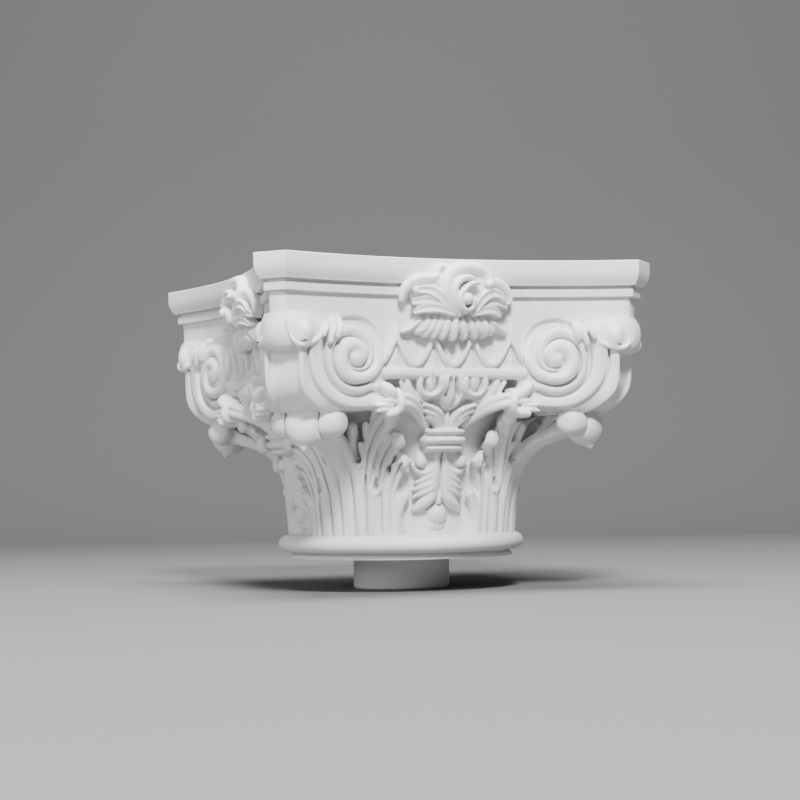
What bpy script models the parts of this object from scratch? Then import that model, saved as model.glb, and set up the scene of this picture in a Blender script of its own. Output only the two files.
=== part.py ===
"""A cast Corinthian capital with diagonal volutes, standing on the short round spigot it was cast with.

Metres, +Z up, origin at the centre of the spigot's underside. One face looks along -Y, and the capital repeats
itself every quarter turn. The carving is drawn in parts, as the orders are: a part is a share of the carved height
going up, and a share of the abacus' reach (at the top) or of the torus' radius (at the foot) going out.
"""

import bpy
import bmesh
from math import asin, cos, degrees, pi, radians, sin, sqrt
from mathutils import Matrix, Vector

# Driving sizes of the foot
SPIGOT_RADIUS = 0.045
SPIGOT_LENGTH = 0.030
SPIGOT_CHAMFER = 0.0025
SEAT_RADIUS = 0.104
SEAT_HEIGHT = 0.0025
NECK_RADIUS = 0.101
NECK_HEIGHT = 0.0025
TORUS_RADIUS = 0.115
TORUS_HEIGHT = 0.017

# Driving sizes of the carved field and of the abacus
CARVED_HEIGHT = 0.208
BAND_HEIGHT = 0.007
GROOVE_HEIGHT = 0.003
FASCIA_HEIGHT = 0.0217
ABACUS_REACH = 0.2446
ABACUS_CORNER = 0.0312
ABACUS_SAG = 0.0309
CYMA_DEPTH = 0.0043
BAND_INSET = 0.0077
GROOVE_INSET = 0.0102
WALL_INSET = 0.0118
WALL_COVE = 0.0012
TOP_CLEARANCE = 0.001

# Drawing parts: the carved field is 208 parts high, the abacus reaches 244.6 parts and the torus 115
PARTS_HIGH = 208.0
PARTS_REACH = 244.6
PARTS_TORUS = 115.0

# Facets
TURNED_SIDES = 48
BELL_SIDES = 28
ARC_STEPS = 8
CARVED_FACETS = 7900
FLOW_SIZE = 0.0016

# Heights that follow from the driving sizes
SEAT_TOP = SPIGOT_LENGTH + SEAT_HEIGHT
NECK_TOP = SEAT_TOP + NECK_HEIGHT
FOOT = NECK_TOP + TORUS_HEIGHT
ABACUS_UNDERSIDE = FOOT + CARVED_HEIGHT
BAND_TOP = ABACUS_UNDERSIDE + BAND_HEIGHT
GROOVE_TOP = BAND_TOP + GROOVE_HEIGHT
CAPITAL_TOP = GROOVE_TOP + FASCIA_HEIGHT

# The hollow side of the abacus is an arc about a point in front of the face
CORNER_HALF = ABACUS_CORNER / 2
SIDE_HALF = (ABACUS_REACH - CORNER_HALF) / sqrt(2)
SIDE_RADIUS = (SIDE_HALF ** 2 + ABACUS_SAG ** 2) / (2 * ABACUS_SAG)
SIDE_CENTRE = (ABACUS_REACH + CORNER_HALF) / sqrt(2) - ABACUS_SAG + SIDE_RADIUS

# Volute, in parts: the eye, and the outer edge as an ellipse about it
EYE_X, EYE_Z = 93.0, 152.5
VOLUTE_WIDE, VOLUTE_HIGH = 47.0, 42.5

# Profile of the bell, in parts: height, radius
BELL = [(-10, 88), (30, 95), (60, 101), (85, 108), (98, 114), (108, 121), (118, 129), (130, 135), (142, 138)]
# Rim of the hollow bolster at the corner, in parts: height, reach and height, distance across the diagonal
RIM = [(104.5, 188), (106, 194), (108, 200), (110.5, 205), (113, 209), (116, 213.5), (121, 219), (126, 222.4),
       (133, 224.6), (145, 225.4)]
RIM_ACROSS = [(104.5, 26), (110, 24), (116, 21.8), (125, 19.8)]
# Corner leaf, in parts: height with the radius on the diagonal, with that of the flanks, and with the half angle
LEAF_MIDDLE = [(-5, 108.5), (15, 110), (30, 112), (47, 116), (58, 120), (64, 120), (70, 114), (76, 103)]
LEAF_FLANK = [(-5, 108.5), (15, 110), (30, 111.4), (47, 112.6), (58, 112), (66, 108), (74, 101)]
LEAF_ANGLE = [(-5, 26.6), (30, 25.5), (50, 22), (62, 19), (76, 15)]
# Tongue that carries the leaf's rolled tip, in parts: reach, height, half width, thickness
TONGUE = [(112, 34, 14, 8), (122, 56, 14.2, 10), (129, 65, 14.4, 11), (136.5, 72, 14.8, 12), (145.5, 77.3, 15.6, 12),
          (156, 81, 17.4, 12), (166, 84, 20, 13), (175, 87, 24, 16), (182, 91, 27, 16)]
# Rolled tip from its middle to its end, in parts: across, reach and height of the middle, radii out and up
ROLL = [(0, 185, 92.6, 15.4, 16), (6, 184.8, 93, 15.2, 15.4), (11, 184.2, 94.4, 14.8, 14), (15, 182.8, 96.2, 12.8, 12),
        (16.2, 182.2, 96.6, 11.6, 11.2), (18, 181.9, 97, 12.8, 11.8), (24, 181, 97.6, 12.9, 11.8),
        (28.5, 180.4, 98, 12, 11.2), (31.6, 180, 98.4, 10.2, 9.8), (33.6, 179.8, 98.6, 7.6, 7.6), (34.4, 179.7, 98.8, 5, 5)]


def curve(knots, t):
    """Value at t on straight lines through (t, value) knots."""
    if t <= knots[0][0]:
        return knots[0][1]
    for (t0, v0), (t1, v1) in zip(knots, knots[1:]):
        if t <= t1:
            return v0 + (v1 - v0) * (t - t0) / (t1 - t0)
    return knots[-1][1]


def height(z):
    """Height in metres of a level in parts above the torus, with all carving kept under the flat top."""
    return min(FOOT + z * CARVED_HEIGHT / PARTS_HIGH, CAPITAL_TOP - TOP_CLEARANCE)


def spread(z):
    """Metres to one part going out, at a level in parts."""
    foot, top = TORUS_RADIUS / PARTS_TORUS, ABACUS_REACH / PARTS_REACH
    share = min(max(z / 110.0, 0.0), 1.0)
    return foot + (top - foot) * share


def front(x, w, z):
    """Point x parts to the right on the front face, w parts out from the axis, z parts up."""
    k = spread(z)
    return Vector((x * k, -w * k, height(z)))


def diagonal(reach, q, z):
    """Point on the front right corner: reach along the diagonal, q across it."""
    return front((reach + q) / sqrt(2), (reach - q) / sqrt(2), z)


def on_bell(angle, z, rise):
    """Point on the bell at an angle in degrees from the front, standing out by rise, and its normal."""
    a = radians(angle)
    radius = curve(BELL, z) + rise
    return front(radius * sin(a), radius * cos(a), z), Vector((sin(a), -cos(a), 0))


def side_depth(x, inset):
    """Distance out of the hollow side at x, both in metres, for an outline moved in by inset."""
    return SIDE_CENTRE - sqrt((SIDE_RADIUS + inset) ** 2 - x * x)


def on_wall(x, z, rise):
    """Point on the hollow wall above the volutes' foot, x and z in parts, and its normal."""
    k = spread(z)
    depth = side_depth(x * k, WALL_INSET)
    normal = Vector((-x * k, -(SIDE_CENTRE - depth), 0)).normalized()
    return Vector((x * k, -depth, height(z))) + normal * rise * k, normal


def plan(inset):
    """Outline of the abacus moved in by inset, as (x, y), anticlockwise from the front face's left end."""
    radius = SIDE_RADIUS + inset
    reach = ABACUS_REACH - inset
    half = pi / 4 + asin((sqrt(2) * reach - SIDE_CENTRE) / (sqrt(2) * radius))
    points = []
    for quarter in range(4):
        turn = Matrix.Rotation(quarter * pi / 2, 2)
        for step in range(ARC_STEPS + 1):
            a = half * (2 * step / ARC_STEPS - 1)
            points.append(turn @ Vector((radius * sin(a), radius * cos(a) - SIDE_CENTRE)))
    return points


def held_back(outline, limit):
    """Outline whose corners reach no further than a limit along the diagonals."""
    points = []
    for p in outline:
        over = max(0.0, (abs(p.x) + abs(p.y)) / sqrt(2) - limit) / sqrt(2)
        points.append(Vector((p.x - over * (1 if p.x > 0 else -1), p.y - over * (1 if p.y > 0 else -1))))
    return points


carving = []
mouldings = []


def loft(rings, turns=(0,), kept=carving):
    """Keep one closed body through rings of equally many points, once for each quarter turn."""
    for quarter in turns:
        turn = Matrix.Rotation(quarter * pi / 2, 4, "Z")
        bm = bmesh.new()
        rows = [[bm.verts.new(turn @ point) for point in ring] for ring in rings]
        count = len(rings[0])
        for low, high in zip(rows, rows[1:]):
            for i in range(count):
                j = (i + 1) % count
                bm.faces.new((low[i], low[j], high[j], high[i]))
        bm.faces.new(list(reversed(rows[0])))
        bm.faces.new(rows[-1])
        bmesh.ops.recalc_face_normals(bm, faces=bm.faces)
        mesh = bpy.data.meshes.new("carving")
        bm.to_mesh(mesh)
        bm.free()
        kept.append(mesh)


FACES = range(4)
FLAT = [(-1, -1), (-0.75, 1), (0.75, 1), (1, -1)]
ROUND = [(-1, -1), (-0.6, 0.8), (0.15, 1), (0.8, 0.6), (1, -1)]
VEE = [(-1, -1), (0, 1), (1, -1)]


def ridge(stations, section=VEE, sink=3.0, turns=FACES, mirror=False):
    """Carve a ridge through stations of ((point, normal), half width, rise), sizes in parts."""
    rings = []
    points = [station[0][0] for station in stations]
    for i, ((point, normal), half, rise) in enumerate(stations):
        along = points[min(i + 1, len(points) - 1)] - points[max(i - 1, 0)]
        side = along.cross(normal).normalized()
        unit = ABACUS_REACH / PARTS_REACH
        rings.append([point + side * a * half * unit + normal * (b * rise if b > 0 else b * sink) * unit
                      for a, b in section])
    loft(rings, turns)
    if mirror:
        loft([[Vector((-p.x, p.y, p.z)) for p in ring] for ring in rings], turns)


def ring_of(radius, z, sides=TURNED_SIDES):
    return [Vector((radius * cos(2 * pi * i / sides), radius * sin(2 * pi * i / sides), z)) for i in range(sides)]


def add_foot():
    """Spigot, seat, neck and torus, turned about the axis."""
    torus_half = TORUS_HEIGHT / 2
    bulge = TORUS_RADIUS - NECK_RADIUS
    profile = [(SPIGOT_RADIUS - SPIGOT_CHAMFER, 0), (SPIGOT_RADIUS, SPIGOT_CHAMFER), (SPIGOT_RADIUS, SPIGOT_LENGTH),
               (SEAT_RADIUS, SPIGOT_LENGTH), (SEAT_RADIUS, SEAT_TOP), (NECK_RADIUS, NECK_TOP)]
    for degree in (-50, -10, 30, 65, 90):
        a = radians(degree)
        profile.append((TORUS_RADIUS - bulge * (1 - cos(a)) * 0.8, NECK_TOP + torus_half * (1 + sin(a))))
    loft([ring_of(radius, z) for radius, z in profile], kept=mouldings)


def add_bell():
    loft([ring_of(radius * spread(z), height(z), BELL_SIDES) for z, radius in BELL])


def add_abacus():
    """Fascia with its cyma, groove and band, and the hollow wall that carries them."""
    wall = [(height(136), WALL_INSET, 206), (height(172), WALL_INSET + WALL_COVE, 206),
            (height(186), WALL_INSET, PARTS_REACH), (ABACUS_UNDERSIDE + BAND_HEIGHT / 2, WALL_INSET, PARTS_REACH)]
    levels = [(ABACUS_UNDERSIDE, BAND_INSET), (BAND_TOP, BAND_INSET), (BAND_TOP, GROOVE_INSET),
              (GROOVE_TOP, GROOVE_INSET), (GROOVE_TOP, CYMA_DEPTH),
              (GROOVE_TOP + FASCIA_HEIGHT * 0.3, CYMA_DEPTH * 0.35), (GROOVE_TOP + FASCIA_HEIGHT * 0.6, 0),
              (CAPITAL_TOP, 0)]
    loft([[Vector((p.x, p.y, z)) for p in held_back(plan(inset), limit * ABACUS_REACH / PARTS_REACH)]
          for z, inset, limit in wall])
    loft([[Vector((p.x, p.y, z)) for p in plan(inset)] for z, inset in levels], kept=mouldings)


def add_volute_body():
    """The scroll that fills each corner: a volute's edge on either face and a hollow bolster between raised rims."""
    rings = []
    for z in (105, 107.5, 109.9, 112, 115.5, 121, 127, 135, 145, 160, 190):
        drop = min(max((EYE_Z - z) / VOLUTE_HIGH, 0.0), 0.999)
        edge = EYE_X + VOLUTE_WIDE * sqrt(1 - drop ** 2)
        rim = curve(RIM, z)
        outer = on_wall(max(edge, EYE_X + 1), z, 4.5)[0]
        across = (-outer.y - outer.x) / sqrt(2) / spread(z)
        if z < 109.8:
            across = curve(RIM_ACROSS, z)
            half = [diagonal(140, -8, z), diagonal(150, -0.6 * across, z), diagonal(164, -across, z),
                    diagonal(180, -across, z)]
        else:
            half = [diagonal(110, -10, z), on_wall(EYE_X - 30, z, -3)[0], on_wall(EYE_X, z, 2)[0], outer]
        across = min(across, curve(RIM_ACROSS, z))
        for share, depth in ((0.96, 3), (0.88, 0.4), (0.8, 0.4), (0.69, 3.4), (0.4, 3.8)):
            half.append(diagonal(rim - depth, -share * across, z))
        rings.append(half + [Vector((-p.y, -p.x, p.z)) for p in reversed(half)])
    loft(rings, FACES)


def volute_point(quarter_radii, turn, rise):
    """Point of a spiral about the eye: turn counts quarter turns from the foot, going round by the outer side."""
    radius = curve(list(enumerate(quarter_radii)), turn)
    a = turn * pi / 2
    return on_wall(EYE_X + radius * sin(a), EYE_Z - radius * cos(a), rise)


def add_volutes():
    """Outer band, the band that winds in over the ring, the ring and the eye, on both sides of every face."""
    outer = [37, 41.5, 41]
    winding = [25.5, 29, 23.5, 14.5, 9.5]
    coil = [26, 26, 29, 22.5, 18, 15.5, 14, 9, 6]
    ridge([(on_wall(58, 116, 2), 5, 2)] + [(volute_point(outer, t, 3), 5.8, 3)
                                          for t in (0, 0.3, 0.6, 0.9, 1.2, 1.5, 1.75)], FLAT, 5, mirror=True)
    ridge([(on_wall(79, 124, 2), 5, 2)] + [(volute_point(winding, t, 3.5), 6.2 - 0.95 * t, 3.6)
                                          for t in (0, 0.4, 0.8, 1.2, 1.6, 2, 2.4, 2.8, 3.2, 3.7)], FLAT, 5, mirror=True)
    ridge([(volute_point(coil, t, 3), 5.4, curve([(2.3, 1), (4, 6), (8, 6)], t))
           for t in (2.3, 2.8, 3.2, 3.6, 4, 4.4, 4.8, 5.2, 5.6, 6)], FLAT, 5, mirror=True)
    ridge([(on_wall(EYE_X + x, EYE_Z + z, 3), half, 6) for x, z, half in ((-7, 10, 3), (-6, 3, 6), (0, -1, 8), (6, -1, 5))],
          ROUND, 5, mirror=True)


def add_hood():
    """Leaf hood that wraps the corner under the abacus, with three fingers laid over each volute."""
    half = ((-33, 207, 189, 174), (-26, 219, 192, 162), (-19, 229, 194, 160.5), (-13.5, 234.5, 194, 164),
            (0, 239.5, 195, 157))
    rings = []
    for q, reach, top, low in half + tuple((-q, *rest) for q, *rest in reversed(half[:-1])):
        rings.append([diagonal(reach - 26, q * 0.8, top), diagonal(reach - 6, q, top - 3),
                      diagonal(reach, q, top * 0.6 + low * 0.4), diagonal(reach - 0.5, q, top * 0.3 + low * 0.7),
                      diagonal(reach - 4, q, low + 1), diagonal(reach - 26, q * 0.8, low)])
    loft(rings, FACES)
    for x, top, tip in ((126, 188, 171), (119, 190, 164), (112, 192, 170)):
        ridge([(on_wall(x - 2, top, 1), 2, 1), (on_wall(x - 1, (top + tip) / 2, 5), 3.4, 4.5),
               (on_wall(x, tip + 2, 6), 3, 4), (on_wall(x, tip, 5), 1.2, 2)], VEE, 6, mirror=True)


def blade_radius(angle, z):
    """Radius of the ribbed front of the corner leaf at an angle off the diagonal."""
    bell, side = curve(BELL, z), abs(angle)
    middle, flank = curve(LEAF_MIDDLE, z), curve(LEAF_FLANK, z)
    crest = flank + (middle - flank) * min(max((10 - side) / 3, 0.0), 1.0)
    share = side / curve(LEAF_ANGLE, z)
    body = 1 - 0.2 * share ** 2 if share < 0.88 else max(0.0, 0.845 * (1 - ((share - 0.88) / 0.2) ** 2))
    rib = curve([(0, 1.2), (3.3, -1.4), (6.3, 1.2), (9.3, -1.6), (13, 1.3), (16.6, -1.4), (18.6, 0.8), (20.6, -1), (23, 0)],
                side)
    return bell - 2.5 + (crest - bell + 2.5) * body + (rib if share < 0.95 else 0)


def blade_ring(z):
    """Section of the corner leaf at a level, closed behind the bell's skin."""
    ring = []
    for step in range(-24, 25):
        a = radians(45 + step * 1.3)
        radius = blade_radius(step * 1.3, z)
        ring.append(front(radius * sin(a), radius * cos(a), z))
    back = curve(BELL, z) - 9
    return ring + [front(back * sin(radians(a)), back * cos(radians(a)), z) for a in (76, 60, 45, 30, 14)]


def add_tongue():
    """Middle of the corner leaf, which leaves the blade and reaches out to its rolled tip."""
    rings = []
    for i, (reach, z, half, thick) in enumerate(TONGUE):
        before, after = TONGUE[max(i - 1, 0)], TONGUE[min(i + 1, len(TONGUE) - 1)]
        along = Vector((after[0] - before[0], after[1] - before[1])).normalized()
        back = Vector((-along.y, along.x))
        ring = []
        for share, depth in ((-1, 6), (-0.8, 1.8), (-0.5, 3.4), (-0.25, 0.4), (0, 0), (0.25, 0.4), (0.5, 3.4), (0.8, 1.8),
                             (1, 6), (0.8, thick), (0, thick), (-0.8, thick)):
            ring.append(diagonal(reach + back.x * depth, share * half, z + back.y * depth))
        rings.append(ring)
    loft(rings, FACES)


def add_corner_leaf():
    """Acanthus leaf on each diagonal: a ribbed blade, lobes in tiers at its sides and a rolled tip on its tongue."""
    loft([blade_ring(z) for z in range(-5, 77, 9)], FACES)
    add_tongue()
    rings = []
    for q, reach, z, out, up in [(-q, *rest) for q, *rest in reversed(ROLL[1:])] + ROLL:
        rings.append([diagonal(reach + out * cos(pi * i / 9), q, z + up * sin(pi * i / 9)) for i in range(18)])
    loft(rings, FACES)
    loft([[diagonal(reach + 2.4 * sin(pi * i / 4), wide * cos(pi * i / 4), z + 3.4 * sin(pi * i / 4)) for i in range(8)]
          for reach, z, wide in ((184, 80, 8), (188, 78, 6), (191, 76.6, 3.4), (192.6, 76, 1))], FACES)
    for side in (-1, 1):
        ridge([(on_bell(45 + side * 8, 52, 6), 5, 3), (on_bell(45 + side * 9, 75, 18), 6, 5),
               (on_bell(45 + side * 11, 92, 28), 6, 6), (on_bell(45 + side * 11.5, 99, 27), 3, 4)], ROUND, 14)
        for root, tip, level, rise, tall in ((13, 17, 93, 15, 26), (14, 24, 110, 12, 34), (18, 26.5, 86, 12, 26),
                                             (20, 30, 69, 11, 24), (21, 31, 49, 9, 20), (22, 31, 33, 6, 16)):
            ridge([(on_bell(45 + side * root, level - tall, 3), 3, 3),
                   (on_bell(45 + side * (root * 0.6 + tip * 0.4), level - tall * 0.4, rise * 0.6), 6, 4.5),
                   (on_bell(45 + side * (root * 0.25 + tip * 0.75), level - 4, rise), 6, 5),
                   (on_bell(45 + side * tip, level, rise), 3, 2.5)], VEE, 10)


def add_band():
    """Row of hanging arches over a bar."""
    ridge([(on_wall(x, 141.2, 0), 3.8, 3.5) for x in (-66, 0, 66)], FLAT, 4)
    for x in (-36, 0, 36):
        ridge([(on_wall(x + a, z, 0.5), 2.4, 3) for a, z in ((-17, 178), (-15.5, 163), (-10, 153), (0, 147.5), (10, 153),
                                                            (15.5, 163), (17, 178))], VEE, 4)


def on_front_bell(x, z, rise):
    """Point on the bell x parts across the front face."""
    radius = curve(BELL, z) + rise
    return on_bell(degrees(asin(x / radius)), z, rise)


def add_buds():
    """Two hanging buds, their side leaves and the pointed flower between them."""
    ridge([(on_front_bell(21 + 12 * sin(radians(a)), 131 - 9.5 * cos(radians(a)), 3), 3, 4)
           for a in (-110, -70, -35, 0, 35, 70, 110)], VEE, 6, mirror=True)
    ridge([(on_front_bell(21, 137, 2), 4, 3), (on_front_bell(21, 131, 4), 6.5, 5), (on_front_bell(21, 125.5, 3), 2, 3)],
          ROUND, 6, mirror=True)
    ridge([(on_front_bell(25, 116, 2), 1.5, 2), (on_front_bell(35, 120, 3), 4, 4), (on_front_bell(42, 128, 3), 4, 4),
           (on_front_bell(46, 136, 2), 2, 3)], VEE, 6, mirror=True)
    ridge([(on_front_bell(0, 138, 2), 4, 3), (on_front_bell(0, 128, 3), 3, 4), (on_front_bell(0, 121, 5), 7, 5),
           (on_front_bell(0, 114, 4), 2, 3)], VEE, 6)


def add_stems():
    """Twin stems that swing from the volutes down to the tie, with a binding, leaves and a feather on each."""
    ridge([(on_wall(64, 114, -4), 5, 4), (on_bell(25, 116, 4), 5, 4), (on_bell(18, 114, 3), 4.6, 4),
           (on_bell(12, 108.5, 3), 4.4, 4), (on_bell(7.5, 101, 4), 4, 4), (on_bell(4, 88, 4), 4, 4)],
          ROUND, 6, mirror=True)
    ridge([(on_bell(24, 122, 5), 3, 4), (on_bell(23.5, 115, 6), 3.4, 4), (on_bell(23, 108, 5), 3, 4)], FLAT, 8, mirror=True)
    for root, tip, level in ((10, 14, 118.5), (7.5, 11.5, 113), (5, 8.5, 107)):
        ridge([(on_bell(root * 0.45, level - 16, 4), 2, 3), (on_bell(root, level - 5, 4), 3.6, 4),
               (on_bell(tip, level, 2), 1.5, 2)], VEE, 6, mirror=True)
    ridge([(on_bell(25, 122, 5), 3, 3), (on_bell(28, 126, 8), 5, 4), (on_bell(32, 123, 7), 2, 2)], VEE, 8, mirror=True)
    ridge([(on_bell(25, 112, 5), 3, 3), (on_bell(29, 111, 9), 5, 4), (on_bell(33, 114, 9), 2, 2)], VEE, 8, mirror=True)


def add_tie():
    """Three rolls that bind the stems."""
    for z, half, rise in ((90.5, 3, 5.5), (84.8, 3.6, 6.5), (79, 2.4, 4.5)):
        ridge([(on_bell(a, z, 4), half, rise) for a in (-9.2, -5, 5, 9.2)], FLAT, 9)


def add_husk():
    """Two scrolled curls, feathered husk leaves and a bud below the tie."""
    ridge([(on_bell(1.5, 76, 3), 2, 4), (on_bell(3, 66, 4), 3, 5), (on_bell(6.5, 57.5, 4), 3, 5),
           (on_bell(10.5, 56.5, 4), 3, 4), (on_bell(13.5, 62, 3), 1.5, 3)], VEE, 6, mirror=True)
    ridge([(on_bell(9.5, 72, 3), 3, 4), (on_bell(9.5, 67, 4), 5.5, 6), (on_bell(9.5, 62, 3), 2, 3)],
          ROUND, 6, mirror=True)
    for root, tip, reach in ((62, 49, 13.5), (55, 42, 13.8), (47, 35, 13.5), (36, 21, 11.5)):
        ridge([(on_bell(1.2, root, 3), 2, 3), (on_bell(reach * 0.5, (root + tip) / 2 - 1, 4), 4, 4.5),
               (on_bell(reach * 0.85, tip + 1, 3), 3, 3.5), (on_bell(reach, tip, 2), 1, 2)], VEE, 6, mirror=True)
    ridge([(on_bell(0, 27, 2), 4, 3), (on_bell(0, 17, 4), 9, 6), (on_bell(0, 10, 3), 7, 4), (on_bell(0, 5, 2), 2, 3)],
          ROUND, 6)


def on_boss(x, z, rise):
    """Point on the swelling front of the fleuron, with its normal, for a rise in parts."""
    swell = 12 * (1 - min((x / 54) ** 2 + ((z - 212) / 32) ** 2, 1.0))
    normal = Vector((x / 90, -1, (z - 212) / 90)).normalized()
    return front(x, 149 + swell + rise, z), normal


def add_fleuron():
    """Rocaille flower over the middle of the abacus, with a row of petals hanging below it."""
    rings = []
    for w, grow in ((130, 0.9), (152, 0.92), (160, 0.6)):
        rings.append([front(46 * grow * cos(pi * i / 7), w, 213 + 25 * grow * sin(pi * i / 7)) for i in range(14)])
    loft(rings, FACES)
    for i in range(-4, 5):
        ridge([(on_wall(i * 7.5, 191, 3), 3, 5), (on_wall(i * 9.5, 181, 9), 4.8, 6),
               (on_wall(i * 10.2, 170 + abs(i) * 0.8, 8), 2.4, 3)], VEE, 12)
    for side in (-1, 1):
        ridge([(on_wall(side * 34, 189, 4), 3, 5), (on_wall(side * 43, 182, 7), 5, 5), (on_wall(side * 54, 178, 3), 1.5, 2)],
              VEE, 9)
    swirl = [(0, 191), (-7, 201), (-8, 214), (-3, 227), (8, 234), (19, 232), (25, 224), (22, 217)]
    ridge([(on_boss(x, z, 2), 4.5, 4.5) for x, z in swirl], VEE, 9)
    ridge([(on_boss(x, z, 2), 4, 4) for x, z in ((8, 193), (15, 202), (14, 212), (6, 215), (2, 207), (6, 201))], VEE, 9)
    ridge([(on_boss(x, z, 0), 6, 5) for x, z in ((-6, 197), (-18, 222), (-30, 228), (-41, 218), (-50, 203))], VEE, 9)
    ridge([(on_boss(x, z, 0), 5, 5) for x, z in ((16, 196), (22, 212), (33, 218), (45, 213), (51, 203))], VEE, 9)
    ridge([(on_boss(x, z, -1), half, 5) for x, z, half in ((-16, 224, 5), (-17, 234, 6), (-12, 240, 3))], VEE, 9)
    ridge([(on_boss(x, z, -1), half, 5) for x, z, half in ((27, 224, 5), (32, 231, 5), (29, 238, 3))], VEE, 9)
    for side in (-1, 1):
        for x, z in ((38, 203), (34, 193)):
            ridge([(on_boss(side * 8, 191, 0), 2, 3), (on_boss(side * x * 0.6, z - 2, 2), 5, 5),
                   (on_boss(side * x, z, -2), 2, 3)], VEE, 9)


def white_polyurethane():
    material = bpy.data.materials.new("white primed polyurethane")
    material.use_nodes = True
    shader = material.node_tree.nodes["Principled BSDF"]
    shader.inputs["Base Color"].default_value = (0.80, 0.80, 0.79, 1)
    shader.inputs["Roughness"].default_value = 0.55
    shader.inputs["Metallic"].default_value = 0.0
    return material


def linked(name, mesh):
    item = bpy.data.objects.new(name, mesh)
    bpy.context.scene.collection.objects.link(item)
    return item


def settle(item):
    """Apply an object's modifiers."""
    graph = bpy.context.evaluated_depsgraph_get()
    mesh = bpy.data.meshes.new_from_object(item.evaluated_get(graph))
    item.modifiers.clear()
    item.data = mesh


def joined(name, meshes):
    """One object that holds every body of a list."""
    bm = bmesh.new()
    for mesh in meshes:
        bm.from_mesh(mesh)
    whole = bpy.data.meshes.new(name)
    bm.to_mesh(whole)
    bm.free()
    return linked(name, whole)


def cast():
    """Flow the carving together as plaster in a mould, thin its facets, and fuse it with the crisp mouldings."""
    carved = joined("carved", carving)
    flow = carved.modifiers.new("flow", "REMESH")
    flow.mode = "VOXEL"
    flow.voxel_size = FLOW_SIZE
    settle(carved)
    thin = carved.modifiers.new("facets", "DECIMATE")
    thin.ratio = CARVED_FACETS / sum(len(face.vertices) - 2 for face in carved.data.polygons)
    settle(carved)
    crisp = joined("crisp", mouldings)
    crisp.hide_render = True
    crisp.display_type = "WIRE"
    boolean = carved.modifiers.new("one casting", "BOOLEAN")
    boolean.operation = "UNION"
    boolean.object = crisp
    boolean.solver = "EXACT"
    settle(carved)
    bpy.data.objects.remove(crisp)
    carved.name = "capital"
    carved.data.materials.clear()
    carved.data.materials.append(white_polyurethane())
    carved.data.shade_smooth()
    carved.data.set_sharp_from_angle(angle=radians(30))


def main():
    for item in list(bpy.data.objects):
        bpy.data.objects.remove(item)
    add_foot()
    add_bell()
    add_abacus()
    add_volute_body()
    add_volutes()
    add_hood()
    add_corner_leaf()
    add_band()
    add_buds()
    add_stems()
    add_tie()
    add_husk()
    add_fleuron()
    cast()


main()
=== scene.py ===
"""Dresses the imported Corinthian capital: finer carving, its white primed surface, light and camera.

The carving is drawn in parts, as the orders are: 208 parts are the carved height, 244.6 parts the reach of
the abacus. Heights are counted from the top of the torus. The carving repeats itself eight times round the
capital, so one eighth is modelled, flowed together like plaster in a mould, and mirrored. The flower is
modelled once for a face.
"""

from math import asin, atan2, ceil, cos, degrees, exp, pi, radians, sin, sqrt

import bmesh
import bpy
from bpy.props import FloatProperty, FloatVectorProperty, IntProperty, PointerProperty
from mathutils import Matrix, Vector


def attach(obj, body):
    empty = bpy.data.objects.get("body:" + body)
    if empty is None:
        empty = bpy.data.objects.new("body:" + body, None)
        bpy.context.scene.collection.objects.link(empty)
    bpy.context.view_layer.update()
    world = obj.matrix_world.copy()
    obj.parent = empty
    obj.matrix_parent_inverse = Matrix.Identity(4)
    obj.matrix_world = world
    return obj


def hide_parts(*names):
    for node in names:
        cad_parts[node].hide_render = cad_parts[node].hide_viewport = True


bl_info = {
    "name": "Corinthian capital",
    "version": (1, 0, 0),
    "blender": (4, 5, 0),
    "location": "View3D > Sidebar > Capital",
    "description": "Carves, casts and paints a Corinthian capital with diagonal volutes",
    "category": "Add Mesh",
}

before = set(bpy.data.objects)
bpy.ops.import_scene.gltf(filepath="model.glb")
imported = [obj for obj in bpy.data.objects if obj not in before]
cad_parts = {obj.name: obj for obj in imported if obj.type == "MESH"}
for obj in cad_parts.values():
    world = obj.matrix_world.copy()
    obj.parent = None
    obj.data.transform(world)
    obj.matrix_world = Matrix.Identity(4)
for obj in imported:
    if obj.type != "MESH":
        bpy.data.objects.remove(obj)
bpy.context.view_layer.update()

PARTS_HIGH = 208.0
PARTS_REACH = 244.6
PARTS_TORUS = 115.0

# Eye of a volute, and the half axes of the ellipse that its outer edge follows, in parts
EYE_X, EYE_Z = 93.0, 152.5
VOLUTE_WIDE, VOLUTE_HIGH = 47.0, 42.5

SPIGOT_CHAMFER = 0.0025
WALL_COVE = 0.0012
TOP_CLEARANCE = 0.001

# Height above the torus and radius of the bell, in parts
BELL = [(-10, 89), (0, 93), (30, 95.5), (60, 101), (85, 107.5), (98, 114), (108, 121), (118, 129),
    (130, 135), (145, 138)]


def metres(name, description, default):
    return FloatProperty(name=name, description=description, default=default, min=0.0, unit="LENGTH")


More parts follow.
